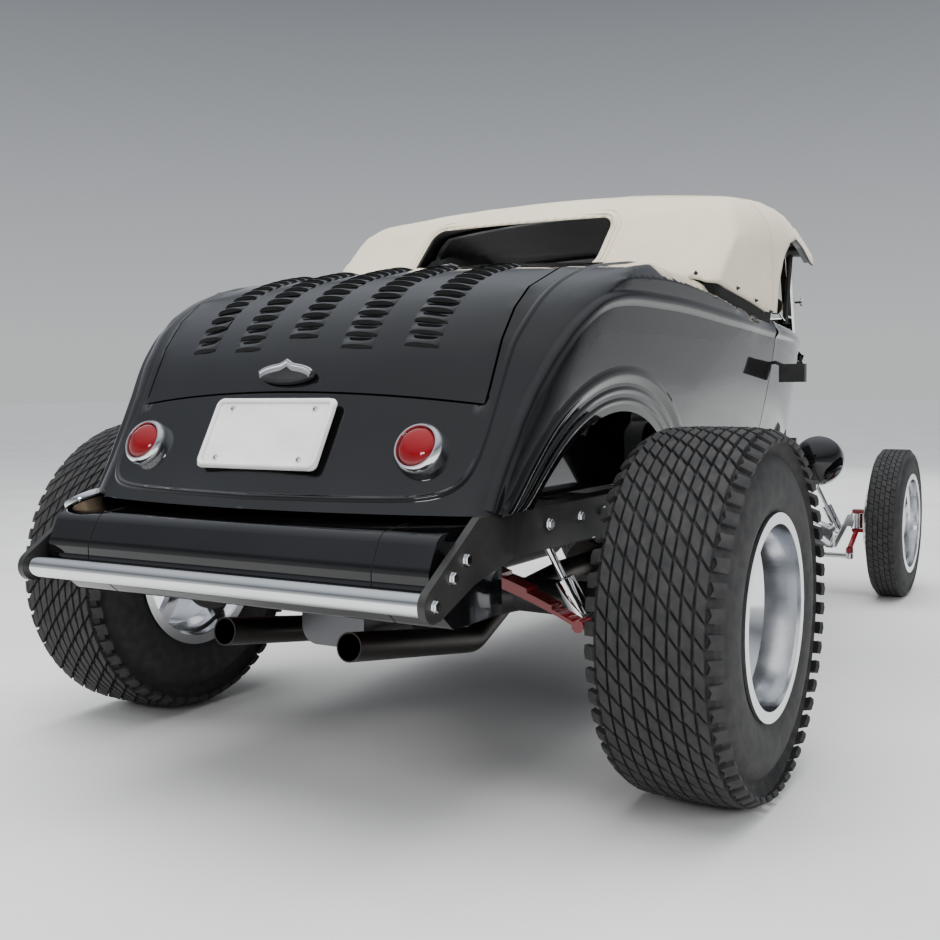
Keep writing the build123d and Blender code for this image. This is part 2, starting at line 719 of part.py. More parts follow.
def spindle():
    """The left steering knuckle: yoke, kingpin, stub axle and steering arm."""
    z = front_tyre_radius
    pin = Pos(kingpin_x, front_y, z) * Cylinder(kingpin_radius, 96.0)
    yoke = block((kingpin_x - 16.0, kingpin_x + 40.0), (front_y - 22.0, front_y + 22.0), (z - 48.0, z - 33.0))
    yoke += block((kingpin_x - 16.0, kingpin_x + 40.0), (front_y - 22.0, front_y + 22.0), (z + 33.0, z + 48.0))
    yoke += block((kingpin_x + 32.0, kingpin_x + 46.0), (front_y - 30.0, front_y + 30.0), (z - 48.0, z + 48.0))
    stub = tube((kingpin_x + 40.0, front_y, z), (front_tyre_x + 20.0, front_y, z), hub_bore - running_fit)
    low = z - 41.0
    arm = tube((kingpin_x, front_y, low), (kingpin_x, front_y + steer_arm, tie_rod_z + 30.0), 11.0)
    tip = Pos(kingpin_x, front_y + steer_arm, tie_rod_z + 24.0) * Cylinder(15.0, 22.0)
    ball = Pos(kingpin_x, front_y + steer_arm, tie_rod_z + 4.0) * Cylinder(6.0, 34.0)
    return pin + yoke + stub + arm + tip + ball


def tie_rod():
    """The bar across the back of the axle, with an eye at each end."""
    reach = kingpin_x
    y = front_y + steer_arm
    bar = tube((-reach, y, tie_rod_z), (reach, y, tie_rod_z), tie_rod_radius)
    for side in (-1, 1):
        eye = Pos(side * reach, y, tie_rod_z) * Cylinder(16.0, 22.0)
        bar = bar + eye
        bar -= Pos(side * reach, y, tie_rod_z) * Cylinder(6.0 + running_fit, 60.0)
    return bar


def hairpin_rods():
    """The left radius rods, from the axle to a clevis on the frame rail."""
    pivot = (418.0, -1985.0, 420.0)
    high = tube((430.0, front_y + 31.0, axle_z + 62.0), pivot, 11.0)
    low = tube((430.0, front_y + 31.0, axle_z - 10.0), pivot, 11.0)
    clevis = Pos(*pivot) * Rot(0, 90, 0) * Cylinder(20.0, 60.0)
    bat = block((415.0, 445.0), (front_y + 22.0, front_y + 44.0), (axle_z - 26.0, axle_z + 78.0))
    return (high + low + clevis + bat) - frame_rails()


def front_shock():
    """The left front damper, a fat body under a thin rod."""
    y = front_y - 48.0
    low = (452.0, y, 246.0)
    middle = (396.0, y, 360.0)
    high = (332.0, y, 490.0)
    damper = tube(low, middle, 21.0) + tube(middle, high, 8.0)
    low_stud = tube((448.0, front_y - 22.0, 258.0), (448.0, y - 30.0, 258.0), 8.0)
    high_stud = tube((280.0, y, 484.0), (350.0, y, 484.0), 8.0)
    return (damper + low_stud + high_stud) - frame_rails()


def headlamp():
    """A bullet headlamp with its glass."""
    back = headlamp_y + 92.0
    front = headlamp_y - 70.0
    outline = Wire([
        Line((0, back), (0, front)),
        Line((0, front), (headlamp_radius - 6, front)),
        Line((headlamp_radius - 6, front), (headlamp_radius, front + 12)),
        ThreePointArc((headlamp_radius, front + 12), (headlamp_radius * 0.80, back - 44), (8.0, back)),
        Line((8.0, back), (0, back)),
    ])
    shell = revolve(make_face(outline), axis=Axis.Y, revolution_arc=360.0)
    return Pos(headlamp_x, 0, headlamp_z) * shell


def headlamp_stand():
    """The left lamp's stand, from the frame rail to the lamp's foot."""
    foot = (276.0, headlamp_y, 500.0)
    knee = (headlamp_x, headlamp_y, 436.0)
    seat = (headlamp_x, headlamp_y, headlamp_z - headlamp_radius + 4.0)
    return bent_tube([foot, knee, seat], 20.0, 12.0) - headlamp() - frame_rails()


def tail_lamp(radius_out, radius_in, depth, offset):
    """A round lamp piece square to the tail panel, on the left."""
    plane = Plane(
        origin=(tail_lamp_x, tail_lamp_y, tail_lamp_z), x_dir=(1, 0, 0),
        z_dir=(0, sin(radians(lid_slope)), cos(radians(lid_slope))),
    )
    piece = Pos(0, 0, offset + depth / 2) * Cylinder(radius_out, depth)
    if radius_in:
        piece -= Pos(0, 0, offset + depth / 2) * Cylinder(radius_in, depth * 2)
    return plane * piece


def number_plate():
    """A blank plate in its frame, on a pad that fills the space to the tail panel."""
    plane = Plane(
        origin=(0, plate_y, plate_z), x_dir=(1, 0, 0),
        z_dir=(0, cos(radians(plate_tilt)), sin(radians(plate_tilt))),
    )
    plate = Pos(0, 0, 4.0) * Box(321.0, 166.0, 8.0)
    plate = fillet(plate.edges().filter_by(Axis.Z), 10.0)
    plate -= Pos(0, 0, 8.0) * Box(293.0, 138.0, 4.0)
    pad = Pos(0, 0, -10.0) * Box(220.0, 110.0, 20.0)
    return plane * (plate + pad)


def exhaust():
    """The left exhaust: tail pipe under the axle, silencer and front pipe."""
    pipe = bent_tube([(172.0, 472.0, 350.0), (172.0, -40.0, 268.0), (176.0, -190.0, 336.0),
                      (190.0, -520.0, 372.0), (190.0, -1700.0, 372.0), (196.0, -2060.0, 380.0),
                      (222.0, -2110.0, 600.0)], 70.0, 32.0, 29.0)
    silencer = tube((190.0, -680.0, 372.0), (190.0, -1180.0, 372.0), 66.0)
    silencer -= tube((190.0, -600.0, 372.0), (190.0, -1300.0, 372.0), 31.0)
    return (pipe + silencer) - engine()


def rear_shock():
    low = (536.0, 70.0, 362.0)
    middle = (486.0, 88.0, 462.0)
    high = (434.0, 120.0, 590.0)
    damper = tube(low, middle, 24.0) + tube(middle, high, 9.0)
    stud = tube((534.0, 10.0, 376.0), (534.0, 80.0, 376.0), 10.0)
    return (damper + stud) - rear_axle() - frame_rails()


def hood_section(station, inset, drop):
    y, half_low, half_side, side_z, half_top, top_z, crown, low_z = station
    plane = Plane(origin=(0, y, 0), x_dir=(1, 0, 0), z_dir=(0, -1, 0))
    low = (half_low - inset, low_z - drop)
    side = (half_side - inset, side_z)
    edge = (half_top - inset, top_z - inset)
    shoulder = (edge[0] + (side[0] - edge[0]) * 0.78, side[1] + (edge[1] - side[1]) * 0.70)
    outline = [
        Line((-low[0], low[1]), low),
        ThreePointArc(edge, (0, edge[1] + crown), (-edge[0], edge[1])),
    ]
    for sign in (1, -1):
        outline.append(Line((sign * low[0], low[1]), (sign * side[0], side[1])))
        outline.append(ThreePointArc((sign * side[0], side[1]), (sign * shoulder[0], shoulder[1]),
                                     (sign * edge[0], edge[1])))
    return plane * make_face(Wire(outline))


def hood_volume(inset, drop):
    return loft([hood_section(station, inset, drop) for station in HOOD_STATIONS], ruled=True)


def hood_panels():
    """The left top half of the hood and the left side, either side of the crease."""
    skin = hood_volume(0.0, 0.0) - hood_volume(hood_wall, 60.0)
    rear, front = HOOD_STATIONS[0], HOOD_STATIONS[1]
    crease = ((rear[0] + 10, rear[3]), (front[0] - 10, front[3]))
    above = side_prism((*crease, (front[0] - 10, 1300.0), (rear[0] + 10, 1300.0)), 700.0)
    half_gap = 10.0
    top = (skin & above) & block((half_gap, 800.0), (-2700.0, -1700.0), (400.0, 1400.0))
    knuckles = hood_knuckles(HOOD_LEFT_KNUCKLES)
    below = side_prism((
        (rear[0] + 10, rear[3] - panel_gap), (front[0] - 10, front[3] - panel_gap), (front[0] - 10, 400.0),
        (rear[0] + 10, 400.0),
    ), 700.0)
    side = (skin & below) & block((half_gap, 800.0), (-2700.0, -1700.0), (400.0, 1400.0))
    right_top = mirrored(top) + hood_knuckles(HOOD_RIGHT_KNUCKLES)
    return top + knuckles, right_top, side


def ridge_point(y):
    """A point on the hinge line along the hood's ridge."""
    rear, front = HOOD_STATIONS[0], HOOD_STATIONS[1]
    share = (y - rear[0]) / (front[0] - rear[0])
    height = rear[5] + rear[6] + share * (front[5] + front[6] - rear[5] - rear[6])
    return (0, y, height - hood_axis_depth)


def hood_hinge():
    """The hinge rod along the hood's ridge, from the cowl to the grille shell."""
    return tube(ridge_point(body_front_y - 0.6), ridge_point(hood_front_y), hood_rod_radius)


def hood_knuckles(centres):
    """Barrels around the hinge rod, with the tabs that join them to the left or right hood half."""
    barrels = None
    for side, y in centres:
        start, end = ridge_point(y - 20.0), ridge_point(y + 20.0)
        barrel = tube(start, end, hood_rod_radius + 4.0)
        x_range = sorted((0.0, side * 14.0))
        barrel += block(x_range, (y - 19.0, y + 19.0), (ridge_point(y)[2] - 1.5, ridge_point(y)[2] + 0.5))
        barrel -= tube(ridge_point(y - 60.0), ridge_point(y + 60.0), hood_rod_radius + running_fit)
        barrels = barrel if barrels is None else barrels + barrel
    return barrels


def shell_face(y, grow, foot):
    plane = Plane(origin=(0, y, 0), x_dir=(1, 0, 0), z_dir=(0, -1, 0))
    low = (168.0 + grow, foot)
    side = (228.0 + grow, 862.0)
    edge = (165.0 + grow * 0.8, 950.0 + grow)
    crown_z = 980.0 + grow
    shoulder = (edge[0] + (side[0] - edge[0]) * 0.80, side[1] + (edge[1] - side[1]) * 0.66)
    outline = [
        Line((-low[0], low[1]), low),
        ThreePointArc(edge, (0, crown_z), (-edge[0], edge[1])),
    ]
    for sign in (1, -1):
        middle = (sign * (low[0] + side[0] + 16.0) / 2, (low[1] + side[1]) / 2)
        outline.append(ThreePointArc((sign * low[0], low[1]), middle, (sign * side[0], side[1])))
        outline.append(ThreePointArc((sign * side[0], side[1]), (sign * shoulder[0], shoulder[1]),
                                     (sign * edge[0], edge[1])))
    return plane * make_face(Wire(outline))


def grille_shell():
    """The shell around the grille, open front and back."""
    outer = loft([shell_face(hood_front_y, 0.0, 492.0), shell_face(shell_front_y, -10.0, 492.0)], ruled=True)
    inner = loft([shell_face(hood_front_y + 10.0, -shell_wall, 512.0),
                  shell_face(shell_front_y - 10.0, -shell_wall - 10.0, 512.0)], ruled=True)
    return (outer - inner) + hood_hinge()


def grille_bars():
    """Upright bars inside the shell, cut to its opening."""
    space = loft([shell_face(shell_front_y + 46.0, -shell_wall - 6.3, 512.0),
                  shell_face(shell_front_y + 22.0, -shell_wall - 8.2, 512.0)], ruled=True)
    count = 13
    bars = []
    for index in range(-count, count + 1):
        x = index * grille_bar_pitch
        half_bar = grille_bar_width / 2
        bar = space & block((x - half_bar, x + half_bar), (-3000.0, -2000.0), (300.0, 1200.0))
        if bar and bar.solids():
            bars.append(bar)
    return solids_of(*bars)


def radiator():
    core = loft([shell_face(hood_front_y - 10.0, -shell_wall - 5.5, 512.0),
                 shell_face(hood_front_y - 62.0, -shell_wall - 5.5, 512.0)], ruled=True)
    return core


def engine():
    """A plain vee engine with its gearbox."""
    block_outline = ((-150.0, 400.0), (150.0, 400.0), (190.0, 560.0), (232.0, 700.0), (150.0, 790.0),
                     (70.0, 740.0),
                     (-70.0, 740.0), (-150.0, 790.0), (-232.0, 700.0), (-190.0, 560.0))
    plane = Plane(origin=(0, -1880.0, 0), x_dir=(1, 0, 0), z_dir=(0, -1, 0))
    engine_block = extrude(plane * make_face(Polyline(*block_outline, close=True)), amount=560.0)
    cleaner = Pos(0, -2150.0, 800.0) * Cylinder(120.0, 120.0)
    box = block((-110.0, 110.0), (-1880.0, -1300.0), (430.0, 545.0))
    return (engine_block + cleaner + box) - frame_rails()


def windscreen_post():
    """The left stanchion, from the cowl to the top of the screen."""
    foot = (548.0, -1585.0, 1046.0)
    head = (548.0, -1512.0, 1318.0)
    return tube(foot, head, 12.0)


def windscreen():
    """The screen's frame and its glass, leaning back between the posts."""
    lean = 15.0
    plane = Plane(origin=(0, -1570.0, 1100.0), x_dir=(1, 0, 0),
                  z_dir=(0, -cos(radians(lean)), sin(radians(lean))))
    height = 218.0
    sill_drop = 40.0
    outer = Pos(0, (height - sill_drop) / 2, 0) * Box(1078.0, height + sill_drop, 16.0)
    hole = Pos(0, height / 2, 0) * Box(1040.0, height - 32.0, 30.0)
    glass = Pos(0, height / 2, 0) * Box(1040.0, height - 32.0, 5.0)
    return plane * (outer - hole), plane * glass


def top_section(station, inset):
    y, half_low, half_edge, edge_z, crown = station
    low = (half_low - inset, 1000.0 - inset)
    side = (half_low - inset, edge_z - 150.0)
    edge = (half_edge - inset, edge_z - inset)
    shoulder = (edge[0] + (side[0] - edge[0]) * 0.72, side[1] + (edge[1] - side[1]) * 0.66)
    outline = [
        Line((-low[0], low[1]), low),
        ThreePointArc(edge, (0, edge[1] + crown), (-edge[0], edge[1])),
    ]
    for sign in (1, -1):
        outline.append(Line((sign * low[0], low[1]), (sign * side[0], side[1])))
        outline.append(ThreePointArc((sign * side[0], side[1]), (sign * shoulder[0], shoulder[1]),
                                     (sign * edge[0], edge[1])))
    plane = Plane(origin=(0, y, 0), x_dir=(1, 0, 0), z_dir=(0, -1, 0))
    return plane * make_face(Wire(outline))


def top_volume(inset):
    """The cloth top's outer form, or a smaller one that hollows it out."""
    along = loft([top_section(station, inset) for station in TOP_STATIONS])
    back = loft([
        waterline(y, z, slope, inset, 652.0, 2400.0, 150.0, header_y - 120.0)
        for y, z, slope in TOP_REAR_STATIONS
    ], ruled=True)
    return along & back


def soft_top():
    """The cloth top as one closed skin, open at the sides, the screen and the back window."""
    skin = top_volume(0.0) - top_volume(cloth_wall) - side_prism(CLOTH_HEM, 800.0)
    skin -= side_prism(SIDE_OPENING, 800.0)
    window = Plane.XZ * (Pos(0, 1290.0) * RectangleRounded(590.0, 150.0, 36.0))
    skin -= Pos(0, -300.0, 0) * extrude(window, amount=600.0)
    skin -= body_volume(-cloth_clearance, under_sill)
    return skin


def top_bows():
    """The hoops and side rails that carry the cloth."""
    backing = top_volume(cloth_wall) - top_volume(cloth_wall + bow_depth)
    rail_line = [(y, z + 1.0) for y, z in (rear_rail_end, *SIDE_OPENING[3:8])]
    strip = side_prism([*rail_line, *[(y, z + 22.0) for y, z in reversed(rail_line)]], 800.0)
    space = strip
    for y, low in BOWS:
        space = space + block((-800.0, 800.0), (y - bow_half_width, y + bow_half_width), (low, 1600.0))
    return (backing & space) - body_volume(-cloth_clearance, under_sill)


def seat():
    cushion = block((-470.0, 470.0), (-1150.0, -640.0), (sill_z(-1150.0) + 22.0, 770.0))
    cushion = fillet(cushion.edges(), 38.0)
    back_outline = ((-690.0, 775.0), (-560.0, 640.0), (-470.0, 640.0), (-470.0, 1060.0), (-560.0, 1080.0))
    back = side_prism(back_outline, 470.0)
    back = fillet(back.edges().filter_by(Axis.X), 26.0)
    cushion -= floor_pan()
    return cushion, back - cushion


def floor_pan():
    """The floor, from the toe board to the boot."""
    outline = (
        (body_front_y + 12.0, sill_z(body_front_y) + 2.0), (kick_front_y, sill_height + 2.0),
        (kick_rear_y, kick_height + 4.0), (500.0, kick_height + 4.0), (500.0, kick_height + 16.0),
        (kick_rear_y - 4.0, kick_height + 16.0), (kick_front_y - 4.0, sill_height + 14.0),
        (body_front_y + 12.0, sill_z(body_front_y) + 14.0),
    )
    space = body_volume(body_wall, 60.0)
    pan = side_prism(outline, 700.0) & space
    for side in (1, -1):
        arch = arch_cylinder(arch_radius + wheelhouse_wall + 1.0, wheelhouse_x - wheelhouse_wall - 1.0, 800.0)
        pan -= arch if side > 0 else mirrored(arch)
    return pan


def firewall():
    space = body_volume(body_wall, 60.0)
    foot = sill_z(body_front_y) + 14.0
    wall = space & block((-700.0, 700.0), (body_front_y, body_front_y + 10.0), (foot, 1200.0))
    return wall - tube(column_foot, column_top, column_radius)


def dashboard():
    space = body_volume(body_wall, 60.0)
    return space & block((-700.0, 700.0), dash_y_range, (890.0, 1200.0))


def rear_bulkhead():
    space = body_volume(body_wall, 60.0)
    wall = space & block((-700.0, 700.0), (-452.0, -440.0), (sill_height + 15.0, 1200.0))
    for side in (1, -1):
        arch = arch_cylinder(arch_radius + wheelhouse_wall + 1.0, wheelhouse_x - wheelhouse_wall - 1.0, 800.0)
        wall -= arch if side > 0 else mirrored(arch)
    return wall - floor_pan()


def steering_column():
    """The column, from below the wheel to the box on the frame rail."""
    column = tube(column_foot, column_top, column_radius)
    box = block((column_x - 26.0, column_x + 26.0), (-2000.0, -1900.0), (480.0, 545.0))
    return (column + box) - frame_rails()


def steering_wheel():
    direction = Line(column_foot, column_top) % 0
    plane = Plane(origin=column_top, x_dir=(1, 0, 0), z_dir=direction)
    rim = Pos(0, 0, 40.0) * Torus(steering_wheel_radius - 13.0, 13.0)
    hub = Pos(0, 0, 22.0) * Cylinder(34.0, 43.0)
    wheel = rim + hub
    for index in range(4):
        spoke = Rot(0, 0, 90.0 * index + 45.0) * (Pos(95.0, 0, 38.0) * Box(170.0, 24.0, 5.0))
        wheel += spoke
    return plane * wheel


def side_mirror(door):
    """The left mirror: an oblong head on a thin arm from the door."""
    arm = tube((620.0, -1050.0, 965.0), (680.0, -1050.0, 940.0), 5.0)
    head = block((652.0, 728.0), (-1062.0, -1038.0), (898.0, 952.0))
    return (arm + head) - door


def lid_handle():
    plane = Plane(origin=(0, 447.0, 922.0), x_dir=(1, 0, 0),
                  z_dir=(0, sin(radians(lid_slope)), cos(radians(lid_slope))))
    body = Pos(0, 0, -8.0) * extrude(Ellipse(75.0, 24.0), amount=22.0)
    return plane * body


def main():
    os.makedirs("parts", exist_ok=True)
    tub, cowl, door, lid = body_panels()
    save(tub, "body_tub")
    save(cowl, "cowl")
    save_pair(door, "door")
    save(lid, "deck_lid")
    save(frame_rails(), "frame_rails")
    save(solids_of(rear_spreader_bar(), front_spreader_bar()), "spreader_bars")
    save(fuel_tank(), "fuel_tank")
    save(filler_cap(), "filler_cap")
    rear_hub = Pos(rear_tyre_x, 0, rear_tyre_radius)
    save_pair(rear_hub * rear_wheel(), "rear_wheel")
    save_pair(rear_hub * tyre(rear_tyre_radius, rear_tyre_width, rear_rim_radius - 16.8, 26.0), "rear_tyre")
    front_hub = Pos(front_tyre_x, front_y, front_tyre_radius)
    save_pair(front_hub * front_wheel(), "front_wheel")
    save_pair(front_hub * tyre(front_tyre_radius, front_tyre_width, front_rim_radius - 15.8, 18.0), "front_tyre")
    save_pair(Pos(-34.0, 0, 0) * front_hub * brake_drum(), "brake_drum")
    save(rear_axle(), "rear_axle")
    save(quick_change_cover(), "quick_change_cover")
    rear_clamp = block((-60.0, 60.0), (122.0, 178.0), (540.0, 572.0))
    rear_spring = leaf_spring(150.0, 560.0, 372.0, 500.0, 50.0, 9.0, 6) + rear_clamp
    save(rear_spring - rear_axle(), "rear_spring")
    save(solids_of(rear_shock(), mirrored(rear_shock())), "rear_shocks")
    save(front_axle(), "front_axle")
    front_clamp = block((-55.0, 55.0), (front_y - 28.0, front_y + 28.0), (410.0, 432.0))
    front_spring = leaf_spring(front_y, 400.0, 268.0, 376.0, 40.0, 8.0, 6) + front_clamp
    for side in (-1, 1):
        front_spring += block(sorted((side * 390.0, side * 410.0)), (front_y - 14.0, front_y + 14.0), (232.0, 268.0))
    save(front_spring - front_axle(), "front_spring")
    save_pair(spindle(), "spindle")
    save(tie_rod(), "tie_rod")
    save(solids_of(hairpin_rods(), mirrored(hairpin_rods())), "radius_rods")
    save(solids_of(front_shock(), mirrored(front_shock())), "front_shocks")
    save(solids_of(headlamp(), mirrored(headlamp())), "headlamps")
    save(solids_of(headlamp_stand(), mirrored(headlamp_stand())), "headlamp_stands")
    bezel = tail_lamp(tail_lamp_radius, tail_lamp_radius - 11.0, 46.0, -16.0) - tub
    save(solids_of(bezel, mirrored(bezel)), "tail_lamp_bezels")
    lens = tail_lamp(tail_lamp_radius - 11.0, 0.0, 34.0, 4.0) - tub
    save(solids_of(lens, mirrored(lens)), "tail_lamp_lenses")
    save(number_plate() - tub, "number_plate")
    save(solids_of(exhaust(), mirrored(exhaust())), "exhausts")
    left_top, right_top, side = hood_panels()
    save(left_top, "hood_top_left")
    save(right_top, "hood_top_right")
    save(solids_of(side, mirrored(side)), "hood_sides")
    save(grille_shell(), "grille_shell")
    save(grille_bars(), "grille_bars")
    save(radiator(), "radiator")
    save(engine(), "engine_block")
    post = windscreen_post() - cowl
    save(solids_of(post, mirrored(post)), "windscreen_posts")
    screen_frame, glass = windscreen()
    save(screen_frame - cowl - post - mirrored(post), "windscreen_frame")
    save(glass, "windscreen_glass")
    save(soft_top(), "soft_top")
    save(top_bows() - screen_frame - post - mirrored(post), "top_bows")
    cushion, back = seat()
    save(cushion, "seat_cushion")
    save(back, "seat_back")
    save(floor_pan(), "floor_pan")
    save(firewall(), "firewall")
    save(dashboard(), "dashboard")
    save(rear_bulkhead(), "rear_bulkhead")
    save(steering_column(), "steering_column")
    save(steering_wheel(), "steering_wheel")
    save_pair(side_mirror(door), "side_mirror")
    save(lid_handle() - lid, "lid_handle")


main()
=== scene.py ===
import json
import math
import bmesh
import bpy
from mathutils import Matrix, Vector
from mathutils.bvhtree import BVHTree

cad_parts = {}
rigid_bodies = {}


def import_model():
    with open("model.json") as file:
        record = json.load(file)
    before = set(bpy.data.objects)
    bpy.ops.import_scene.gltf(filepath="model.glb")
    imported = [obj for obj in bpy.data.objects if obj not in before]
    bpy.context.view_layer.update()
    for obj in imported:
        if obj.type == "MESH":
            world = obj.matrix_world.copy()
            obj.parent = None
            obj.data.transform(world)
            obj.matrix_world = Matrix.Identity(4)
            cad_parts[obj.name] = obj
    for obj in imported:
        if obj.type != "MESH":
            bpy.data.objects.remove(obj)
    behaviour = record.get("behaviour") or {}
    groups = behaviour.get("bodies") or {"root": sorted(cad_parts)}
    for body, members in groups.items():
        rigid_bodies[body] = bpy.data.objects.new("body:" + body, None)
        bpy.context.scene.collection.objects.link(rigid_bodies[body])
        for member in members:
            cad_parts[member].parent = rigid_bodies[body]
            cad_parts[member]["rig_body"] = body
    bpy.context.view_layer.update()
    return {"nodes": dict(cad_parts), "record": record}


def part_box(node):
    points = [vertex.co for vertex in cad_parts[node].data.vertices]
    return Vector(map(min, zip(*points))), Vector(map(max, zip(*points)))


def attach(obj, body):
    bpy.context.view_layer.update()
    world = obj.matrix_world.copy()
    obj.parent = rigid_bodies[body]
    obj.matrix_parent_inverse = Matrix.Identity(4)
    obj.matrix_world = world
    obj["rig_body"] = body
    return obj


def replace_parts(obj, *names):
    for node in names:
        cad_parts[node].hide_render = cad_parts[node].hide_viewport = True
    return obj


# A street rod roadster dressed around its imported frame, in metres.
# Lengths named _mm, and every table of places, are in millimetres with y = 0 at the rear axle.

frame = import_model()
nodes = frame["nodes"]

# From the rear axle to the origin under the middle of the car
axle_shift_mm = 1132.25

# Camera at the photograph's place
camera_place = (-1.614, 3.562, 0.894)
camera_aim = (0.5033, -0.8612, -0.0715)
camera_roll = -0.5
camera_lens = 44.74

# Wheels
rear_axle_z_mm = 401.5
rear_wheel_x_mm = 810.0
front_axle_y_mm = -2692.0
front_axle_z_mm = 307.5
front_wheel_x_mm = 690.0

# How far the tail and the plate face back from straight up, in degrees
tail_slope = 62.0
plate_slope = 60.0


def place(x, y, z):
    """A point in metres from axle-frame millimetres."""
    return Vector((x / 1000, (y + axle_shift_mm) / 1000, z / 1000))


def turn_matrix(direction, up=(0, 0, 1)):
    """A turn that points local z along a direction, with local y as near to up as it can be."""
    z_axis = Vector(direction).normalized()
    x_axis = Vector(up).cross(z_axis)
    if x_axis.length < 1e-6:
        x_axis = Vector((1, 0, 0))
    x_axis.normalize()
    y_axis = z_axis.cross(x_axis)
    return Matrix((x_axis, y_axis, z_axis)).transposed()


# Finishes

def new_finish(name, color, roughness, metallic=0.0):
    """A material with one shader, ready for its detail."""
    material = bpy.data.materials.new(name)
    material.use_nodes = True
    shader = material.node_tree.nodes["Principled BSDF"]
    shader.inputs["Base Color"].default_value = (*color, 1.0)
    shader.inputs["Roughness"].default_value = roughness
    shader.inputs["Metallic"].default_value = metallic
    return material


def add_node(material, kind, **values):
    """A shader node with its input values set by name."""
    node = material.node_tree.nodes.new(kind)
    for name, value in values.items():
        node.inputs[name.replace("_", " ")].default_value = value
    return node


def join(material, source, target):
    """Link two sockets."""
    material.node_tree.links.new(source, target)


def shader_of(material):
    """A material's main shader."""
    return material.node_tree.nodes["Principled BSDF"]


def grain(material, scale, detail=3.0, stretch=(1, 1, 1)):
    """Noise on the piece's own coordinates, stretched to give a direction."""
    coordinates = add_node(material, "ShaderNodeTexCoord")
    mapping = add_node(material, "ShaderNodeMapping")
    mapping.inputs["Scale"].default_value = stretch
    noise = add_node(material, "ShaderNodeTexNoise", Scale=scale, Detail=detail)
    join(material, coordinates.outputs["Object"], mapping.inputs["Vector"])
    join(material, mapping.outputs["Vector"], noise.inputs["Vector"])
    return noise.outputs["Fac"]


def vary_color(material, factor, first, second, low=0.35, high=0.65):
    """Colour that runs between two tones with a pattern."""
    ramp = add_node(material, "ShaderNodeValToRGB")
    ramp.color_ramp.elements[0].position = low
    ramp.color_ramp.elements[0].color = (*first, 1.0)
    ramp.color_ramp.elements[1].position = high
    ramp.color_ramp.elements[1].color = (*second, 1.0)
    join(material, factor, ramp.inputs["Fac"])
    join(material, ramp.outputs["Color"], shader_of(material).inputs["Base Color"])


def vary_roughness(material, factor, low, high):
    """Roughness that runs between two values with a pattern."""
    span = add_node(material, "ShaderNodeMapRange")
    span.inputs["To Min"].default_value = low
    span.inputs["To Max"].default_value = high
    join(material, factor, span.inputs["Value"])
    join(material, span.outputs["Result"], shader_of(material).inputs["Roughness"])


def add_bump(material, factor, depth, strength=1.0, under=None):
    """Fine relief from a pattern, over an earlier relief if there is one."""
    bump = add_node(material, "ShaderNodeBump", Distance=depth, Strength=strength)
    join(material, factor, bump.inputs["Height"])
    if under is not None:
        join(material, under, bump.inputs["Normal"])
    join(material, bump.outputs["Normal"], shader_of(material).inputs["Normal"])
    return bump.outputs["Normal"]


def add_coat(material, weight, roughness=0.03):
    """A clear coat over the colour."""
    shader = shader_of(material)
    shader.inputs["Coat Weight"].default_value = weight
    shader.inputs["Coat Roughness"].default_value = roughness


def paint(name, color, dusty, roughness=0.12):
    """Sprayed paint under clear lacquer, with a faint film of road dust."""
    material = new_finish(name, color, roughness)
    add_coat(material, 1.0)
    shader_of(material).inputs["Specular IOR Level"].default_value = 0.12
    dust = grain(material, 3.0, 6.0)
    vary_color(material, dust, color, dusty, 0.42, 0.75)
    vary_roughness(material, dust, roughness * 0.7, roughness * 1.6)
    add_bump(material, grain(material, 420.0, 2.0), 0.00003, 0.25)
    return material


def bright_metal(name, color, low, high, stretch=(1, 1, 1), scale=60.0):
    """Plated or polished metal, with faint polishing marks."""
    material = new_finish(name, color, low, 1.0)
    marks = grain(material, scale, 5.0, stretch)
    vary_roughness(material, marks, low, high)
    dulled = tuple(channel * 0.93 for channel in color)
    vary_color(material, grain(material, 9.0, 4.0), color, dulled, 0.5, 0.8)
    add_bump(material, marks, 0.00002, 0.3)
    return material


def satin(name, color, second, roughness, relief, scale=300.0):
    """A plain satin surface with a light grain."""
    material = new_finish(name, color, roughness)
    vary_color(material, grain(material, 14.0, 5.0), color, second)
    add_bump(material, grain(material, scale, 3.0), relief, 0.5)
    return material


def rubber(name):
    """Tyre rubber, greyed by dust on its faces."""
    material = new_finish(name, (0.022, 0.022, 0.023), 0.72)
    vary_color(material, grain(material, 40.0, 7.0), (0.022, 0.022, 0.023), (0.040, 0.039, 0.038), 0.38, 0.78)
    vary_roughness(material, grain(material, 25.0, 4.0), 0.58, 0.85)
    add_bump(material, grain(material, 700.0, 3.0), 0.0002, 0.45)
    shader_of(material).inputs["Specular IOR Level"].default_value = 0.35
    return material


def weave(name, light, dark, pitch, depth):
    """Plain woven canvas: two crossed sets of threads with soft wrinkles."""
    material = new_finish(name, light, 0.88)
    coordinates = add_node(material, "ShaderNodeTexCoord")
    threads = []
    for axis in ("X", "Z"):
        band = add_node(material, "ShaderNodeTexWave", Scale=1.0 / pitch / 6.2832, Distortion=0.6)
        band.bands_direction = axis
        join(material, coordinates.outputs["Object"], band.inputs["Vector"])
        threads.append(band.outputs["Fac"])
    mixed = add_node(material, "ShaderNodeMath")
    mixed.operation = "MULTIPLY"
    for index, thread in enumerate(threads):
        join(material, thread, mixed.inputs[index])
    vary_color(material, grain(material, 5.0, 8.0), dark, light, 0.3, 0.62)
    wrinkles = add_bump(material, grain(material, 7.0, 4.0), 0.004, 0.35)
    add_bump(material, mixed.outputs["Value"], depth, 0.5, wrinkles)
    # The inside faces are painted near-black as the shade under the roof.
    paint_inside_shade(material, (0.02, 0.019, 0.017))
    shader = shader_of(material)
    shader.inputs["Sheen Weight"].default_value = 0.25
    shader.inputs["Sheen Roughness"].default_value = 0.5
    return material


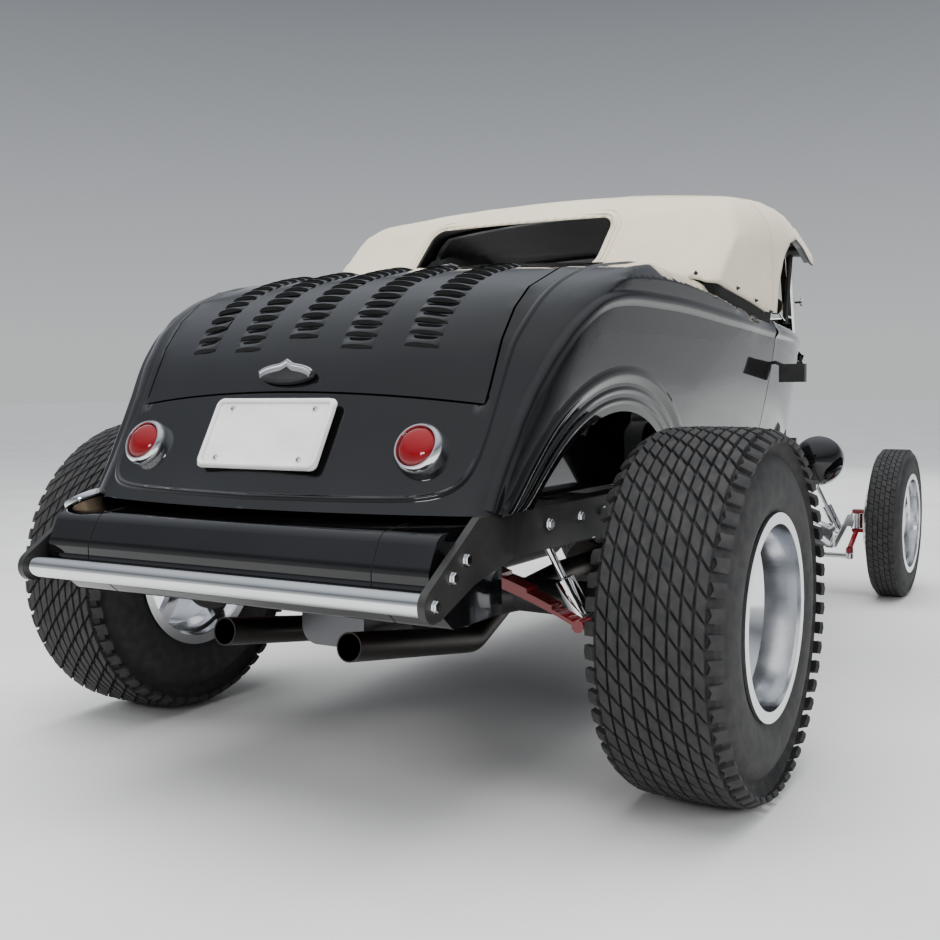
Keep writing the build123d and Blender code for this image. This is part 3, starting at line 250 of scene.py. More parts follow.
def paint_inside_shade(material, dark):
    """Painted shade: the faces that a piece marks as its inside are mixed to a near-black tone, for the shade
    under the roof.
    """
    socket = shader_of(material).inputs["Base Color"]
    outside = socket.links[0].from_socket
    mark = add_node(material, "ShaderNodeAttribute")
    mark.attribute_name = "inside"
    mix = add_node(material, "ShaderNodeMixRGB")
    mix.inputs["Color2"].default_value = (*dark, 1.0)
    join(material, mark.outputs["Fac"], mix.inputs["Fac"])
    join(material, outside, mix.inputs["Color1"])
    join(material, mix.outputs["Color"], socket)


def leather(name, light, dark):
    """Upholstery leather with a pebbled grain."""
    material = new_finish(name, light, 0.5)
    cells = add_node(material, "ShaderNodeTexVoronoi", Scale=420.0)
    coordinates = add_node(material, "ShaderNodeTexCoord")
    join(material, coordinates.outputs["Object"], cells.inputs["Vector"])
    vary_color(material, grain(material, 9.0, 6.0), dark, light)
    vary_roughness(material, grain(material, 30.0, 4.0), 0.42, 0.62)
    add_bump(material, cells.outputs["Distance"], 0.0004, 0.5)
    return material


def clear_glass(name, tint, roughness=0.0):
    """Clear glass with faintly uneven wiping."""
    material = new_finish(name, tint, roughness)
    shader = shader_of(material)
    shader.inputs["Transmission Weight"].default_value = 1.0
    shader.inputs["IOR"].default_value = 1.45
    vary_roughness(material, grain(material, 12.0, 5.0), roughness, roughness + 0.04)
    return material


FINISHES = {
    "body_paint": paint("gloss_black_lacquer", (0.002, 0.002, 0.0025), (0.005, 0.005, 0.006), 0.08),
    "frame_paint": satin("satin_black_frame", (0.012, 0.012, 0.012), (0.025, 0.024, 0.023), 0.35, 0.0001),
    "red_paint": paint("dark_red_enamel", (0.22, 0.006, 0.010), (0.16, 0.008, 0.010), 0.16),
    "chrome": bright_metal("chrome_plate", (0.80, 0.81, 0.82), 0.03, 0.10),
    "polished": bright_metal("polished_alloy", (0.80, 0.81, 0.83), 0.10, 0.22, (1, 6, 6), 40.0),
    "bronze": bright_metal("aged_bronze", (0.20, 0.15, 0.10), 0.32, 0.5, (1, 1, 1), 90.0),
    "radiator": satin("black_core", (0.012, 0.012, 0.012), (0.03, 0.03, 0.03), 0.6, 0.0004),
    "engine": satin("cast_block", (0.05, 0.05, 0.052), (0.08, 0.08, 0.08), 0.5, 0.0006),
    "exhaust": bright_metal("heat_dulled_pipe", (0.06, 0.055, 0.05), 0.25, 0.5),
    "tyre": rubber("tyre_rubber"),
    "cloth": weave("cream_canvas", (0.64, 0.57, 0.43), (0.57, 0.505, 0.375), 0.0016, 0.0004),
    "hide": leather("tan_hide", (0.21, 0.13, 0.075), (0.12, 0.07, 0.04)),
    "wheel_grip": satin("black_grip", (0.012, 0.011, 0.010), (0.03, 0.025, 0.02), 0.3, 0.0002),
    "glass": clear_glass("screen_glass", (0.93, 0.96, 0.95)),
    "red_lens": paint("red_lens", (0.17, 0.0004, 0.0035), (0.13, 0.0004, 0.003), 0.15),
    "plate": satin("plate_enamel", (0.72, 0.72, 0.70), (0.64, 0.63, 0.61), 0.25, 0.00003),
    "black_trim": satin("black_plastic", (0.012, 0.012, 0.012), (0.02, 0.02, 0.02), 0.4, 0.0002),
}
# Near-black finish: painted shade in the louvre mouths and under the cloth's hem, and the real dark joints of
# the tank's seams.
shade_and_seam_black = satin("dark_recess", (0.0015, 0.0015, 0.0015), (0.003, 0.003, 0.003), 0.8, 0.0001)
# Rough cast alloy for the quick-change cover, its colour darkened as painted shade under the car.
cast_alloy = bright_metal("cast_alloy", (0.13, 0.13, 0.14), 0.34, 0.46, (1, 1, 1), 120.0)
reflector = bright_metal("lamp_reflector", (0.85, 0.85, 0.86), 0.05, 0.12)


# Making pieces

# The share of a block's height where its top begins to narrow
prism_shoulder = 0.86


def finish_piece(mesh, name, slot, body="chassis", material=None, angle=38.0):
    """Put a mesh in the scene under its name, with its finish, and let it ride on its body."""
    piece = bpy.data.objects.new(name, mesh)
    bpy.context.scene.collection.objects.link(piece)
    mesh.name = name
    mesh.materials.clear()
    mesh.materials.append(material or FINISHES[slot])
    mesh.shade_smooth()
    mesh.set_sharp_from_angle(angle=math.radians(angle))
    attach(piece, body)
    return piece


def mesh_from(shape, name="shape"):
    """A mesh from a filled bmesh, which is freed."""
    mesh = bpy.data.meshes.new(name)
    shape.to_mesh(mesh)
    shape.free()
    return mesh


def mesh_of(build):
    """A mesh from a function that fills a bmesh, with doubles merged and faces turned outwards."""
    shape = bmesh.new()
    build(shape)
    bmesh.ops.remove_doubles(shape, verts=shape.verts, dist=1e-6)
    bmesh.ops.recalc_face_normals(shape, faces=shape.faces)
    return mesh_from(shape)


def join_rows(shape, first, second, closed=False):
    """A band of faces between two rows of points, or between two rings of them."""
    count = len(first)
    for k in range(count if closed else count - 1):
        shape.faces.new((first[k], first[(k + 1) % count], second[(k + 1) % count], second[k]))


def moved_mesh(mesh, matrix):
    """The same mesh moved by a matrix, with its faces still outwards after a mirror."""
    mesh.transform(matrix)
    if matrix.determinant() < 0:
        mesh.flip_normals()
    return mesh


def merged(meshes):
    """Several meshes as one, each kept whole."""
    shape = bmesh.new()
    for mesh in meshes:
        shape.from_mesh(mesh)
    return mesh_from(shape, "merged")


def turned_mesh(profile, steps, closed=True):
    """A ring or disc turned about x from (x, radius) points in millimetres."""
    def build(shape):
        rings = []
        for index in range(steps):
            angle = 2 * math.pi * index / steps
            rings.append([shape.verts.new((x / 1000, r / 1000 * math.cos(angle), r / 1000 * math.sin(angle)))
                          for x, r in profile])
        for ring, following in zip(rings, [*rings[1:], rings[0]]):
            join_rows(shape, ring, following, closed)
    return mesh_of(build)


def rounded_outline(width, height, radius, steps=6):
    """An (x, y) outline of a rectangle with round corners."""
    points = []
    for corner_x, corner_y, start in ((1, 1, 0), (-1, 1, 90), (-1, -1, 180), (1, -1, 270)):
        centre_x = corner_x * (width / 2 - radius)
        centre_y = corner_y * (height / 2 - radius)
        for step in range(steps + 1):
            angle = math.radians(start + 90 * step / steps)
            points.append((centre_x + radius * math.cos(angle), centre_y + radius * math.sin(angle)))
    return points


def plate_mesh(outline, levels):
    """A closed form from one outline drawn at several heights, as (height, scale) pairs."""
    def build(shape):
        rings = [[shape.verts.new((x * scale, y * scale, height)) for x, y in outline]
                 for height, scale in levels]
        for lower, upper in zip(rings, rings[1:]):
            join_rows(shape, lower, upper, closed=True)
        shape.faces.new(rings[-1])
        shape.faces.new(list(reversed(rings[0])))
    return mesh_of(build)


def prism_mesh(outline, height, taper, base=0.0):
    """A raised block with a smaller top, from an (x, y) outline in metres."""
    return plate_mesh(outline, ((base, 1.0), (height * prism_shoulder, 1.0), (height, taper)))


def swept_mesh(points, radius, resolution=3, cyclic=False, kind="POLY"):
    """A round bar along points in metres."""
    curve = bpy.data.curves.new("path", "CURVE")
    curve.dimensions = "3D"
    curve.bevel_depth = radius
    curve.bevel_resolution = resolution
    curve.use_fill_caps = not cyclic
    spline = curve.splines.new(kind)
    spline.points.add(len(points) - 1)
    for point, target in zip(spline.points, points):
        point.co = (*target, 1.0)
    spline.use_cyclic_u = cyclic
    if kind == "NURBS":
        spline.order_u = 3
        spline.use_endpoint_u = True
        spline.resolution_u = 6
    carrier = bpy.data.objects.new("path", curve)
    mesh = bpy.data.meshes.new_from_object(carrier)
    bpy.data.objects.remove(carrier)
    return mesh


# Repeated forms

REPEAT_INPUTS = (("Points", "Geometry"), ("Form", "Object"), ("Finish", "Material"), ("Size", "Float"))
TREAD_INPUTS = (*REPEAT_INPUTS, ("Radius", "Float"), ("Width", "Float"), ("Rows", "Int"), ("Count", "Int"),
                ("Skew", "Float"), ("Crown", "Float"))


def set_input(modifier, tree, name, value):
    """Set a modifier's input by the identifier of the named socket."""
    for item in tree.interface.items_tree:
        if item.name == name and item.in_out == "INPUT":
            modifier[item.identifier] = value


def new_tree(name, inputs):
    """A tree with named inputs and one geometry output, with its first and last node."""
    tree = bpy.data.node_groups.new(name, "GeometryNodeTree")
    for label, kind in inputs:
        tree.interface.new_socket(name=label, in_out="INPUT", socket_type=f"NodeSocket{kind}")
    tree.interface.new_socket(name="Result", in_out="OUTPUT", socket_type="NodeSocketGeometry")
    return tree, tree.nodes.new("NodeGroupInput"), tree.nodes.new("NodeGroupOutput")


def copy_on_points(tree, entry, result, form, points, turn):
    """End a tree with a form's copies on points, realized with one material."""
    add = tree.nodes.new
    source, copies = add("GeometryNodeObjectInfo"), add("GeometryNodeInstanceOnPoints")
    real, finish = add("GeometryNodeRealizeInstances"), add("GeometryNodeSetMaterial")
    for start, end in (
        (form, source.inputs["Object"]),
        (points, copies.inputs["Points"]),
        (source.outputs["Geometry"], copies.inputs["Instance"]),
        (turn, copies.inputs["Rotation"]),
        (entry.outputs["Size"], copies.inputs["Scale"]),
        (copies.outputs["Instances"], real.inputs["Geometry"]),
        (real.outputs["Geometry"], finish.inputs["Geometry"]),
        (entry.outputs["Finish"], finish.inputs["Material"]),
        (finish.outputs["Geometry"], result.inputs["Result"]),
    ):
        tree.links.new(start, end)


def repeat_tree():
    """Copies of a form on points that carry a turn."""
    tree, entry, result = new_tree("repeat_form", REPEAT_INPUTS)
    turn = tree.nodes.new("GeometryNodeInputNamedAttribute")
    turn.data_type = "FLOAT_VECTOR"
    turn.inputs["Name"].default_value = "turn"
    form, points = entry.outputs["Form"], entry.outputs["Points"]
    copy_on_points(tree, entry, result, form, points, turn.outputs["Attribute"])
    return tree


repeats = repeat_tree()


def bake_tree(carrier, tree, values):
    """Run a tree on a carrier object with named values and return the plain mesh."""
    modifier = carrier.modifiers.new("form", "NODES")
    modifier.node_group = tree
    for name, value in values.items():
        set_input(modifier, tree, name, value)
    bpy.context.scene.collection.objects.link(carrier)
    bpy.context.view_layer.update()
    evaluated = carrier.evaluated_get(bpy.context.evaluated_depsgraph_get())
    mesh = bpy.data.meshes.new_from_object(evaluated)
    bpy.data.objects.remove(carrier)
    return mesh


def repeated(form, spots, finish):
    """One mesh with the form copied to each (place, turn matrix)."""
    form_object = bpy.data.objects.new("form", form)
    points = bpy.data.meshes.new("spots")
    points.from_pydata([spot for spot, _ in spots], [], [])
    turns = points.attributes.new("turn", "FLOAT_VECTOR", "POINT")
    for index, (_, matrix) in enumerate(spots):
        turns.data[index].vector = matrix.to_euler()
    carrier = bpy.data.objects.new("carrier", points)
    mesh = bake_tree(carrier, repeats, {"Form": form_object, "Finish": finish, "Size": 1.0})
    bpy.data.objects.remove(form_object)
    return mesh


def math_step(tree, operation, first, second=None):
    """The result of one sum on sockets or plain numbers."""
    node = tree.nodes.new("ShaderNodeMath")
    node.operation = operation
    for index, source in enumerate((first, second)):
        if isinstance(source, (int, float)):
            node.inputs[index].default_value = source
        elif source is not None:
            tree.links.new(source, node.inputs[index])
    return node.outputs["Value"]


def tread_tree():
    """Rows of tread blocks round a tyre: each row lies further round, and the edge rows lie lower."""
    tree, entry, result = new_tree("tread_rows", TREAD_INPUTS)
    add, link, size = tree.nodes.new, tree.links.new, entry.outputs

    def step(*terms):
        return math_step(tree, *terms)

    grid = add("GeometryNodeMeshGrid")
    link(size["Width"], grid.inputs["Size X"])
    link(step("DIVIDE", step("SUBTRACT", size["Count"], 1.0), size["Count"]), grid.inputs["Size Y"])
    link(size["Rows"], grid.inputs["Vertices X"])
    link(size["Count"], grid.inputs["Vertices Y"])
    position, parts = add("GeometryNodeInputPosition"), add("ShaderNodeSeparateXYZ")
    link(position.outputs["Position"], parts.inputs["Vector"])
    across, along = parts.outputs["X"], parts.outputs["Y"]
    angle = step("ADD", step("MULTIPLY", along, 2 * math.pi), step("MULTIPLY", across, size["Skew"]))
    drop = step("MULTIPLY", step("POWER", step("ABSOLUTE", across), 4.0), size["Crown"])
    radius = step("SUBTRACT", size["Radius"], drop)
    spot = add("ShaderNodeCombineXYZ")
    link(across, spot.inputs["X"])
    link(step("MULTIPLY", radius, step("SINE", angle)), spot.inputs["Y"])
    link(step("MULTIPLY", radius, step("COSINE", angle)), spot.inputs["Z"])
    stored, kept = add("GeometryNodeStoreNamedAttribute"), add("GeometryNodeInputNamedAttribute")
    for node in (stored, kept):
        node.data_type = "FLOAT"
        node.inputs["Name"].default_value = "round"
    link(grid.outputs["Mesh"], stored.inputs["Geometry"])
    link(angle, stored.inputs["Value"])
    placed, turn = add("GeometryNodeSetPosition"), add("ShaderNodeCombineXYZ")
    link(stored.outputs["Geometry"], placed.inputs["Geometry"])
    link(spot.outputs["Vector"], placed.inputs["Position"])
    link(step("MULTIPLY", kept.outputs["Attribute"], -1.0), turn.inputs["X"])
    copy_on_points(tree, entry, result, size["Form"], placed.outputs["Geometry"], turn.outputs["Vector"])
    return tree


tread_rows = tread_tree()


def tread_mesh(block, **sizes):
    """A tyre's blocks from one block form."""
    form = bpy.data.objects.new("block", block)
    carrier = bpy.data.objects.new("carrier", bpy.data.meshes.new("empty"))
    mesh = bake_tree(carrier, tread_rows, {"Form": form, "Finish": FINISHES["tyre"], "Size": 1.0, **sizes})
    bpy.data.objects.remove(form)
    return mesh


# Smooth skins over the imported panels, and seating things on them

# Each finished skin by the name of the node that it stands for
skins = {}
# Each panel with the radius under which its curves are left as they are, for its hinges
PANELS = (("body_tub", 0.0), ("cowl", 0.016), ("door_left", 0.016), ("door_right", 0.016), ("deck_lid", 0.0))
skin_edge_limit = 0.024
skin_crease = 24.0
skin_passes = 40
shortest_crease = 0.12

# Places outside the car from which lines are cast at its skins
behind_mm = 900.0
beside_mm = 900.0
above_mm = 1500.0


def split_long_edges(shape, longest, rounds):
    """Halve every edge over a length until none is left or the rounds are used."""
    for _ in range(rounds):
        long_edges = [edge for edge in shape.edges if edge.calc_length() > longest]
        if not long_edges:
            return
        bmesh.ops.subdivide_edges(shape, edges=long_edges, cuts=1, use_grid_fill=False)
        bmesh.ops.triangulate(shape, faces=[face for face in shape.faces if len(face.verts) > 3])


def bend_radius(edge):
    """The radius of the curve that two faces make at their shared edge, or a large one on the flat."""
    angle = edge.calc_face_angle(0.0)
    if angle < math.radians(3.0):
        return 10.0
    width = min(face.calc_area() for face in edge.link_faces) / max(edge.calc_length(), 1e-6) * 2
    return width / angle


def crease_vertices(shape, crease, tight):
    """The points on creases and on tight curves, leaving out those that are short in all."""
    edges = {edge for edge in shape.edges
             if edge.calc_face_angle(0.0) > math.radians(crease) or bend_radius(edge) < tight}
    found = set()
    while edges:
        chain, waiting = [], [edges.pop()]
        while waiting:
            edge = waiting.pop()
            chain.append(edge)
            for other in {other for vertex in edge.verts for other in vertex.link_edges} & edges:
                edges.remove(other)
                waiting.append(other)
        if sum(edge.calc_length() for edge in chain) > shortest_crease:
            found.update(vertex for edge in chain for vertex in edge.verts)
    return found


def relaxed_copy(name, longest, crease, passes, tight=0.0):
    """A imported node's mesh, divided finely and relaxed everywhere but at its creases."""
    shape = bmesh.new()
    shape.from_mesh(nodes[name].data)
    bmesh.ops.remove_doubles(shape, verts=shape.verts, dist=2e-4)
    bmesh.ops.dissolve_degenerate(shape, edges=shape.edges, dist=1e-4)
    shape.normal_update()
    fixed = crease_vertices(shape, crease, tight) if tight else set()
    split_long_edges(shape, longest, 7)
    shape.normal_update()
    fixed |= crease_vertices(shape, crease, 0.0)
    free = [vertex for vertex in shape.verts if vertex not in fixed]
    axes = {"use_axis_x": True, "use_axis_y": True, "use_axis_z": True}
    for _ in range(passes):
        bmesh.ops.smooth_vert(shape, verts=free, factor=0.5, **axes)
    shape.normal_update()
    return shape


def make_skins():
    """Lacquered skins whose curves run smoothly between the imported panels' bands."""
    for name, tight in PANELS:
        mesh = mesh_from(relaxed_copy(name, skin_edge_limit, skin_crease, skin_passes, tight))
        skin = finish_piece(mesh, f"{name}_skin", "body_paint", nodes[name]["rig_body"], angle=skin_crease)
        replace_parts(skin, name)
        skins[name] = skin


def panel_tree(name):
    """A panel's surface, to seat pieces on."""
    mesh = skins.get(name, nodes[name]).data
    points = [vertex.co.copy() for vertex in mesh.vertices]
    return BVHTree.FromPolygons(points, [list(polygon.vertices) for polygon in mesh.polygons])


def seat_on(surface, start, direction):
    """Where a line meets a panel, with the panel's outward direction there."""
    hit, normal, _, _ = surface.ray_cast(start, direction)
    if hit is None:
        return None, None
    if normal.dot(direction) > 0:
        normal = -normal
    return hit, normal


# Wheels and tyres

# Each carcass: width, bore and shoulder in millimetres, then the wall's moulded rings as (share, height)
REAR_CARCASS = (269.0, 206.0, 30.0, ((0.30, 0.8), (0.72, 1.2), (0.80, 0.8)))
FRONT_CARCASS = (135.0, 191.5, 22.0, ((0.34, 0.6), (0.76, 0.9)))
LUG_OUTLINE = ((-0.012, -0.0125), (0.017, -0.0145), (0.020, 0.002), (0.017, 0.0145), (-0.012, 0.0145),
               (-0.006, 0.0))
lug_height = 0.0062
lug_x = 0.1215
lug_radius = 0.3845


def tyre_carcass(radius, width, bore, shoulder, rings):
    """A tyre's smooth wall and tread base, with fine rings moulded in the wall."""
    half = width / 2
    wall = []
    steps = 22
    for step in range(steps + 1):
        share = step / steps
        swell = math.sin(math.pi * min(share * 1.12, 1.0)) ** 0.62
        r = bore + (radius - shoulder - bore) * share
        x = half * (0.80 + 0.20 * swell)
        for ring_share, ring_height in rings:
            if abs(share - ring_share) < 0.6 / steps:
                x += ring_height
        wall.append((x, r))
    edge = [(half * 0.90, radius - shoulder * 0.45), (half * 0.80, radius - shoulder * 0.18),
            (half * 0.62, radius - shoulder * 0.05), (half * 0.3, radius)]
    side = [*wall, *edge]
    profile = [*side, *[(-x, r) for x, r in reversed(side)]]
    return turned_mesh(profile, 160)


def wheel_matrix(side, x, y, z):
    """The place of a wheel on the left, mirrored for the right."""
    return Matrix.Translation(place(side * x, y, z)) @ Matrix.Diagonal((side, 1, 1, 1))


def slanted_outline(half_x, half_y, shift):
    """A tread block's outline, with one side shifted back round the tyre and the other forward."""
    return [(-half_x, half_y - shift), (-half_x, -half_y - shift), (half_x, -half_y + shift),
            (half_x, half_y + shift)]


def shoulder_lugs(count):
    """Notched lugs round both shoulders of the rear tyre."""
    lug = prism_mesh(LUG_OUTLINE, lug_height, 0.9, -0.006)
    rings = []
    for hand in (-1, 1):
        spots = []
        for index in range(count):
            angle = 2 * math.pi * (index + 0.3) / count
            radial = Vector((0, math.sin(angle), math.cos(angle)))
            around = Vector((0, math.cos(angle), -math.sin(angle)))
            outward = (Vector((hand * 0.52, 0, 0)) + radial * 0.86).normalized()
            across = around.cross(outward)
            spot = Vector((hand * lug_x, 0, 0)) + radial * lug_radius
            spots.append((spot, Matrix((across * hand, around * hand, outward)).transposed()))
        rings.append(repeated(lug, spots, FINISHES["tyre"]))
    return rings


def tyre_mesh(outer_mm, depth_mm, carcass, rows, pitch, gap, lean, overlap, taper, sink, crown):
    """A tyre's carcass and its diagonal rows of blocks, with the count of blocks in a row."""
    pitch_x, pitch_y = pitch
    outline = slanted_outline(pitch_x / 2 - gap[0], pitch_y / 2 - gap[1], lean / 2 - overlap)
    block = prism_mesh(outline, depth_mm / 1000, taper, sink)
    count = round(2 * math.pi * outer_mm / 1000 / pitch_y)
    blocks = tread_mesh(block, Radius=(outer_mm - depth_mm) / 1000, Width=pitch_x * (rows - 1), Rows=rows,
                        Count=count, Skew=-lean / pitch_x / (outer_mm / 1000), Crown=crown)
    return [tyre_carcass(outer_mm - depth_mm, *carcass), blocks], count


def rear_tyre(side):
    """A wide rear tyre: nine diagonal rows of diamond blocks and notched shoulder lugs."""
    parts, count = tyre_mesh(rear_axle_z_mm, 9.5, REAR_CARCASS, rows=9, pitch=(0.0245, 0.0490),
                             gap=(0.0027, 0.0042), lean=0.0260, overlap=0.001, taper=0.94, sink=-0.004,
                             crown=40.0)
    tyre = merged([*parts, *shoulder_lugs(count)])
    return moved_mesh(tyre, wheel_matrix(side, rear_wheel_x_mm, 0, rear_axle_z_mm))


def front_tyre(side):
    """A narrow front tyre with five rows of small blocks."""
    parts, _ = tyre_mesh(front_axle_z_mm, 6.0, FRONT_CARCASS, rows=5, pitch=(0.0200, 0.0300),
                         gap=(0.0013, 0.0011), lean=0.008, overlap=0.0, taper=0.95, sink=-0.003, crown=160.0)
    return moved_mesh(merged(parts), wheel_matrix(side, front_wheel_x_mm, front_axle_y_mm, front_axle_z_mm))


def make_tyres():
    """The four treaded tyres, each turning with its wheel."""
    for side, hand in ((1, "left"), (-1, "right")):
        for build, end in ((rear_tyre, "rear"), (front_tyre, "front")):
            tyre = finish_piece(build(side), f"{end}_tread_{hand}", "tyre", f"{end}_wheel_{hand}", angle=50.0)
            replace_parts(tyre, f"{end}_tyre_{hand}")


# Deck lid: rows of punched louvres as x, how many pitches up the first one is, and how many there are
LOUVRE_ROWS = ((-300.0, 0, 14), (-150.0, 0, 14), (0.0, 1, 14), (150.0, 0, 14), (300.0, 0, 14))
louvre_low_z_mm = 990.0
louvre_pitch = 0.0325
louvre_size = (0.079, 0.0240, 0.0095)
louvre_lip = 0.0014


def louvre_rise(share):
    """The arched height of a louvre's lip at a share of its half width."""
    return max(0.0, 1 - share * share) ** 0.6


def louvre_mesh(width, length, rise):
    """A punched louvre: a smooth hood that rises towards its open lower edge, with a thin rolled lip."""
    def build(shape):
        across, along = 16, 8
        grid = []
        for j in range(along + 1):
            t = j / along
            row = []
            for i in range(across + 1):
                s = 2 * i / across - 1
                height = rise * louvre_rise(s) * math.sin(t * math.pi / 2) ** 1.3
                row.append(shape.verts.new((s * width / 2, length / 2 - t * length, height - 0.0003)))
            grid.append(row)
        back = [shape.verts.new((v.co.x * 0.98, v.co.y + 0.0010, max(v.co.z - louvre_lip, -0.0005)))
                for v in grid[-1]]
        for row, following in zip(grid, [*grid[1:], back]):
            join_rows(shape, row, following)
    return mesh_of(build)


def slot_mesh(width, length, rise):
    """The mouth under a louvre's lip: a near-black sheet, painted shade in the opening."""
    def build(shape):
        steps = 16
        low, high = [], []
        for i in range(steps + 1):
            s = 2 * i / steps - 1
            x = s * width / 2 * 0.98
            top = max(rise * louvre_rise(s) - 0.0013, 0.0004)
            low.append(shape.verts.new((x, -length / 2 - 0.0045, 0.0003)))
            high.append(shape.verts.new((x, -length / 2 + 0.0008, top)))
        join_rows(shape, low, high)
    return mesh_of(build)


def make_louvres():
    """The lid's louvres, seated on its skin and open towards the tail."""
    lid = panel_tree("deck_lid")
    spots = []
    for x, skipped, count in LOUVRE_ROWS:
        hit, normal = seat_on(lid, place(x, behind_mm, louvre_low_z_mm), Vector((0, -1, 0)))
        for index in range(skipped + count):
            if hit is None or normal.z < 0.1:
                break
            fore = normal.cross(Vector((1, 0, 0))).normalized()
            if fore.y > 0:
                fore = -fore
            across = fore.cross(normal)
            if index >= skipped:
                spots.append((hit, Matrix((across, fore, normal)).transposed()))
            hit, normal = seat_on(lid, hit + fore * louvre_pitch + normal * 0.06, -normal)
    hoods = repeated(louvre_mesh(*louvre_size), spots, FINISHES["body_paint"])
    mouths = repeated(slot_mesh(*louvre_size), spots, shade_and_seam_black)
    finish_piece(hoods, "deck_louvres", "body_paint", "deck_lid")
    # The mouths are painted shade: near-black sheets where the opening under each lip lies in shade.
    finish_piece(mouths, "deck_louvre_mouths", "black_trim", "deck_lid", shade_and_seam_black)


# Raised lines pressed into the panels

# The line along the side as (y, z): the rear quarter, then the door and the cowl
SIDE_BEAD = ((594, 717), (572, 808), (548, 892), (500, 936), (439, 965), (350, 1015), (260, 1052),
             (144, 1075), (17, 1085), (-130, 1085), (-275, 1083), (-430, 1075), (-592, 1065), (-780, 1056),
             (-990, 1045))
DOOR_BEAD = ((-1012, 1044), (-1200, 1039), (-1400, 1030), (-1552, 1020))
COWL_BEAD = ((-1566, 1019), (-1650, 1008), (-1740, 990), (-1812, 968))
# Half of the line round the lid: x and z up the tail, then x and y over the crest
TAIL_BEAD = ((0, 672), (200, 673), (380, 676), (446, 690), (476, 722), (484, 780), (485, 860), (487, 940),
             (490, 1000))
CREST_BEAD = ((492, 372), (495, 330), (500, 270), (507, 180), (514, 60), (520, -100), (524, -260),
              (522, -420))
# Ridges and steps round the wheel arch: radius, half width, height
ARCH_RIDGES = ((495.0, 0.021, 0.0060), (459.0, 0.010, 0.0035), (434.0, 0.009, 0.0032))
arch_y_mm = 20.0
arch_z_mm = 421.0
arch_start = -8.0
arch_sweep = 190.0
arch_steps = 60
side_bead_size = (0.019, 0.0065)
tail_bead_size = (0.009, 0.0042)
side_reach_mm = 650.0
# How far a ridge's underside lies in the panel, and how far its edges do
ridge_root = 0.0022
ridge_sink = 0.0003


def smooth_line(points, steps):
    """Points on a smooth curve through a few places."""
    result = []
    for index in range(len(points) - 1):
        before = points[max(index - 1, 0)]
        start, end = points[index], points[index + 1]
        after = points[min(index + 2, len(points) - 1)]
        for step in range(steps):
            t = step / steps
            weights = (-0.5 * t + t * t - 0.5 * t**3, 1 - 2.5 * t * t + 1.5 * t**3,
                       0.5 * t + 2 * t * t - 1.5 * t**3, -0.5 * t * t + 0.5 * t**3)
            corners = (before, start, end, after)
            result.append(tuple(sum(w * c[k] for w, c in zip(weights, corners)) for k in range(len(start))))
    result.append(points[-1])
    return result


def eased(points, passes=6):
    """A line of points with its kinks drawn out, ends kept."""
    result = list(points)
    for _ in range(passes):
        result[1:-1] = [(before + here * 2 + after) / 4
                        for before, here, after in zip(result, result[1:], result[2:])]
    return result


def side_line(surface, line, side):
    """A line of (y, z) places brought to the nearest skin of the side panel."""
    points = []
    for y, z in line:
        spot, _, _, _ = surface.find_nearest(place(side * side_reach_mm, y, z))
        if not points or (spot - points[-1]).length > 0.003:
            points.append(spot)
    return eased(points)


def ridge_mesh(surface, line, half_width, height, steps=8):
    """A soft ridge that rises out of a panel along a line of points and sinks back into it."""
    def build(shape):
        loops = []
        for index, point in enumerate(line):
            along = line[min(index + 1, len(line) - 1)] - line[max(index - 1, 0)]
            _, normal, _, _ = surface.find_nearest(point)
            across = along.cross(normal).normalized()
            top, low = [], []
            for step in range(steps + 1):
                share = 2 * step / steps - 1
                spot, facing, _, _ = surface.find_nearest(point + across * half_width * share)
                rise = height * (1 + math.cos(math.pi * share)) / 2 - ridge_sink
                top.append(shape.verts.new(spot + facing * rise))
                low.append(shape.verts.new(spot - facing * ridge_root))
            loops.append([*top, *reversed(low)])
        for first, second in zip(loops, loops[1:]):
            join_rows(shape, first, second, closed=True)
        shape.faces.new(loops[0])
        shape.faces.new(list(reversed(loops[-1])))
    return mesh_of(build)


def arch_line(radius):
    """The (y, z) places of an arc round the wheel arch."""
    arc = []
    for step in range(arch_steps + 1):
        angle = math.radians(arch_start + arch_sweep * step / arch_steps)
        arc.append((arch_y_mm + radius * math.cos(angle), arch_z_mm + radius * math.sin(angle)))
    return arc


def lid_line(tub):
    """The line round the lid, up the tail on one side, over the crest and down the other side."""
    half = []
    for x, z in smooth_line(TAIL_BEAD, 5):
        hit, _ = seat_on(tub, place(x, behind_mm, z), Vector((0, -1, 0)))
        if hit is not None:
            half.append(hit)
    for x, y in smooth_line(CREST_BEAD, 5):
        hit, _ = seat_on(tub, place(x, y, above_mm), Vector((0, 0, -1)))
        if hit is not None and hit.y < half[-1].y - 0.008:
            half.append(hit)
    half = eased(half)
    return [*[Vector((-p.x, p.y, p.z)) for p in reversed(half)], *half[1:]]


def make_beads():
    """The pressed lines along the sides, round the wheel arches and round the lid."""
    tub = panel_tree("body_tub")
    for side, hand in ((1, "left"), (-1, "right")):
        rear = [ridge_mesh(tub, side_line(tub, smooth_line(SIDE_BEAD, 6), side), *side_bead_size)]
        for radius, half_width, height in ARCH_RIDGES:
            rear.append(ridge_mesh(tub, side_line(tub, arch_line(radius), side), half_width, height))
        finish_piece(merged(rear), f"quarter_beads_{hand}", "body_paint")
        door = f"door_{hand}"
        for name, table, body in ((door, DOOR_BEAD, door), ("cowl", COWL_BEAD, "chassis")):
            surface = panel_tree(name)
            bead = ridge_mesh(surface, side_line(surface, smooth_line(table, 5), side), *side_bead_size)
            finish_piece(bead, f"belt_bead_{name}_{hand}", "body_paint", body)
    finish_piece(ridge_mesh(tub, lid_line(tub), *tail_bead_size), "tail_bead", "body_paint")


# Tail lamps, plate and lid handle

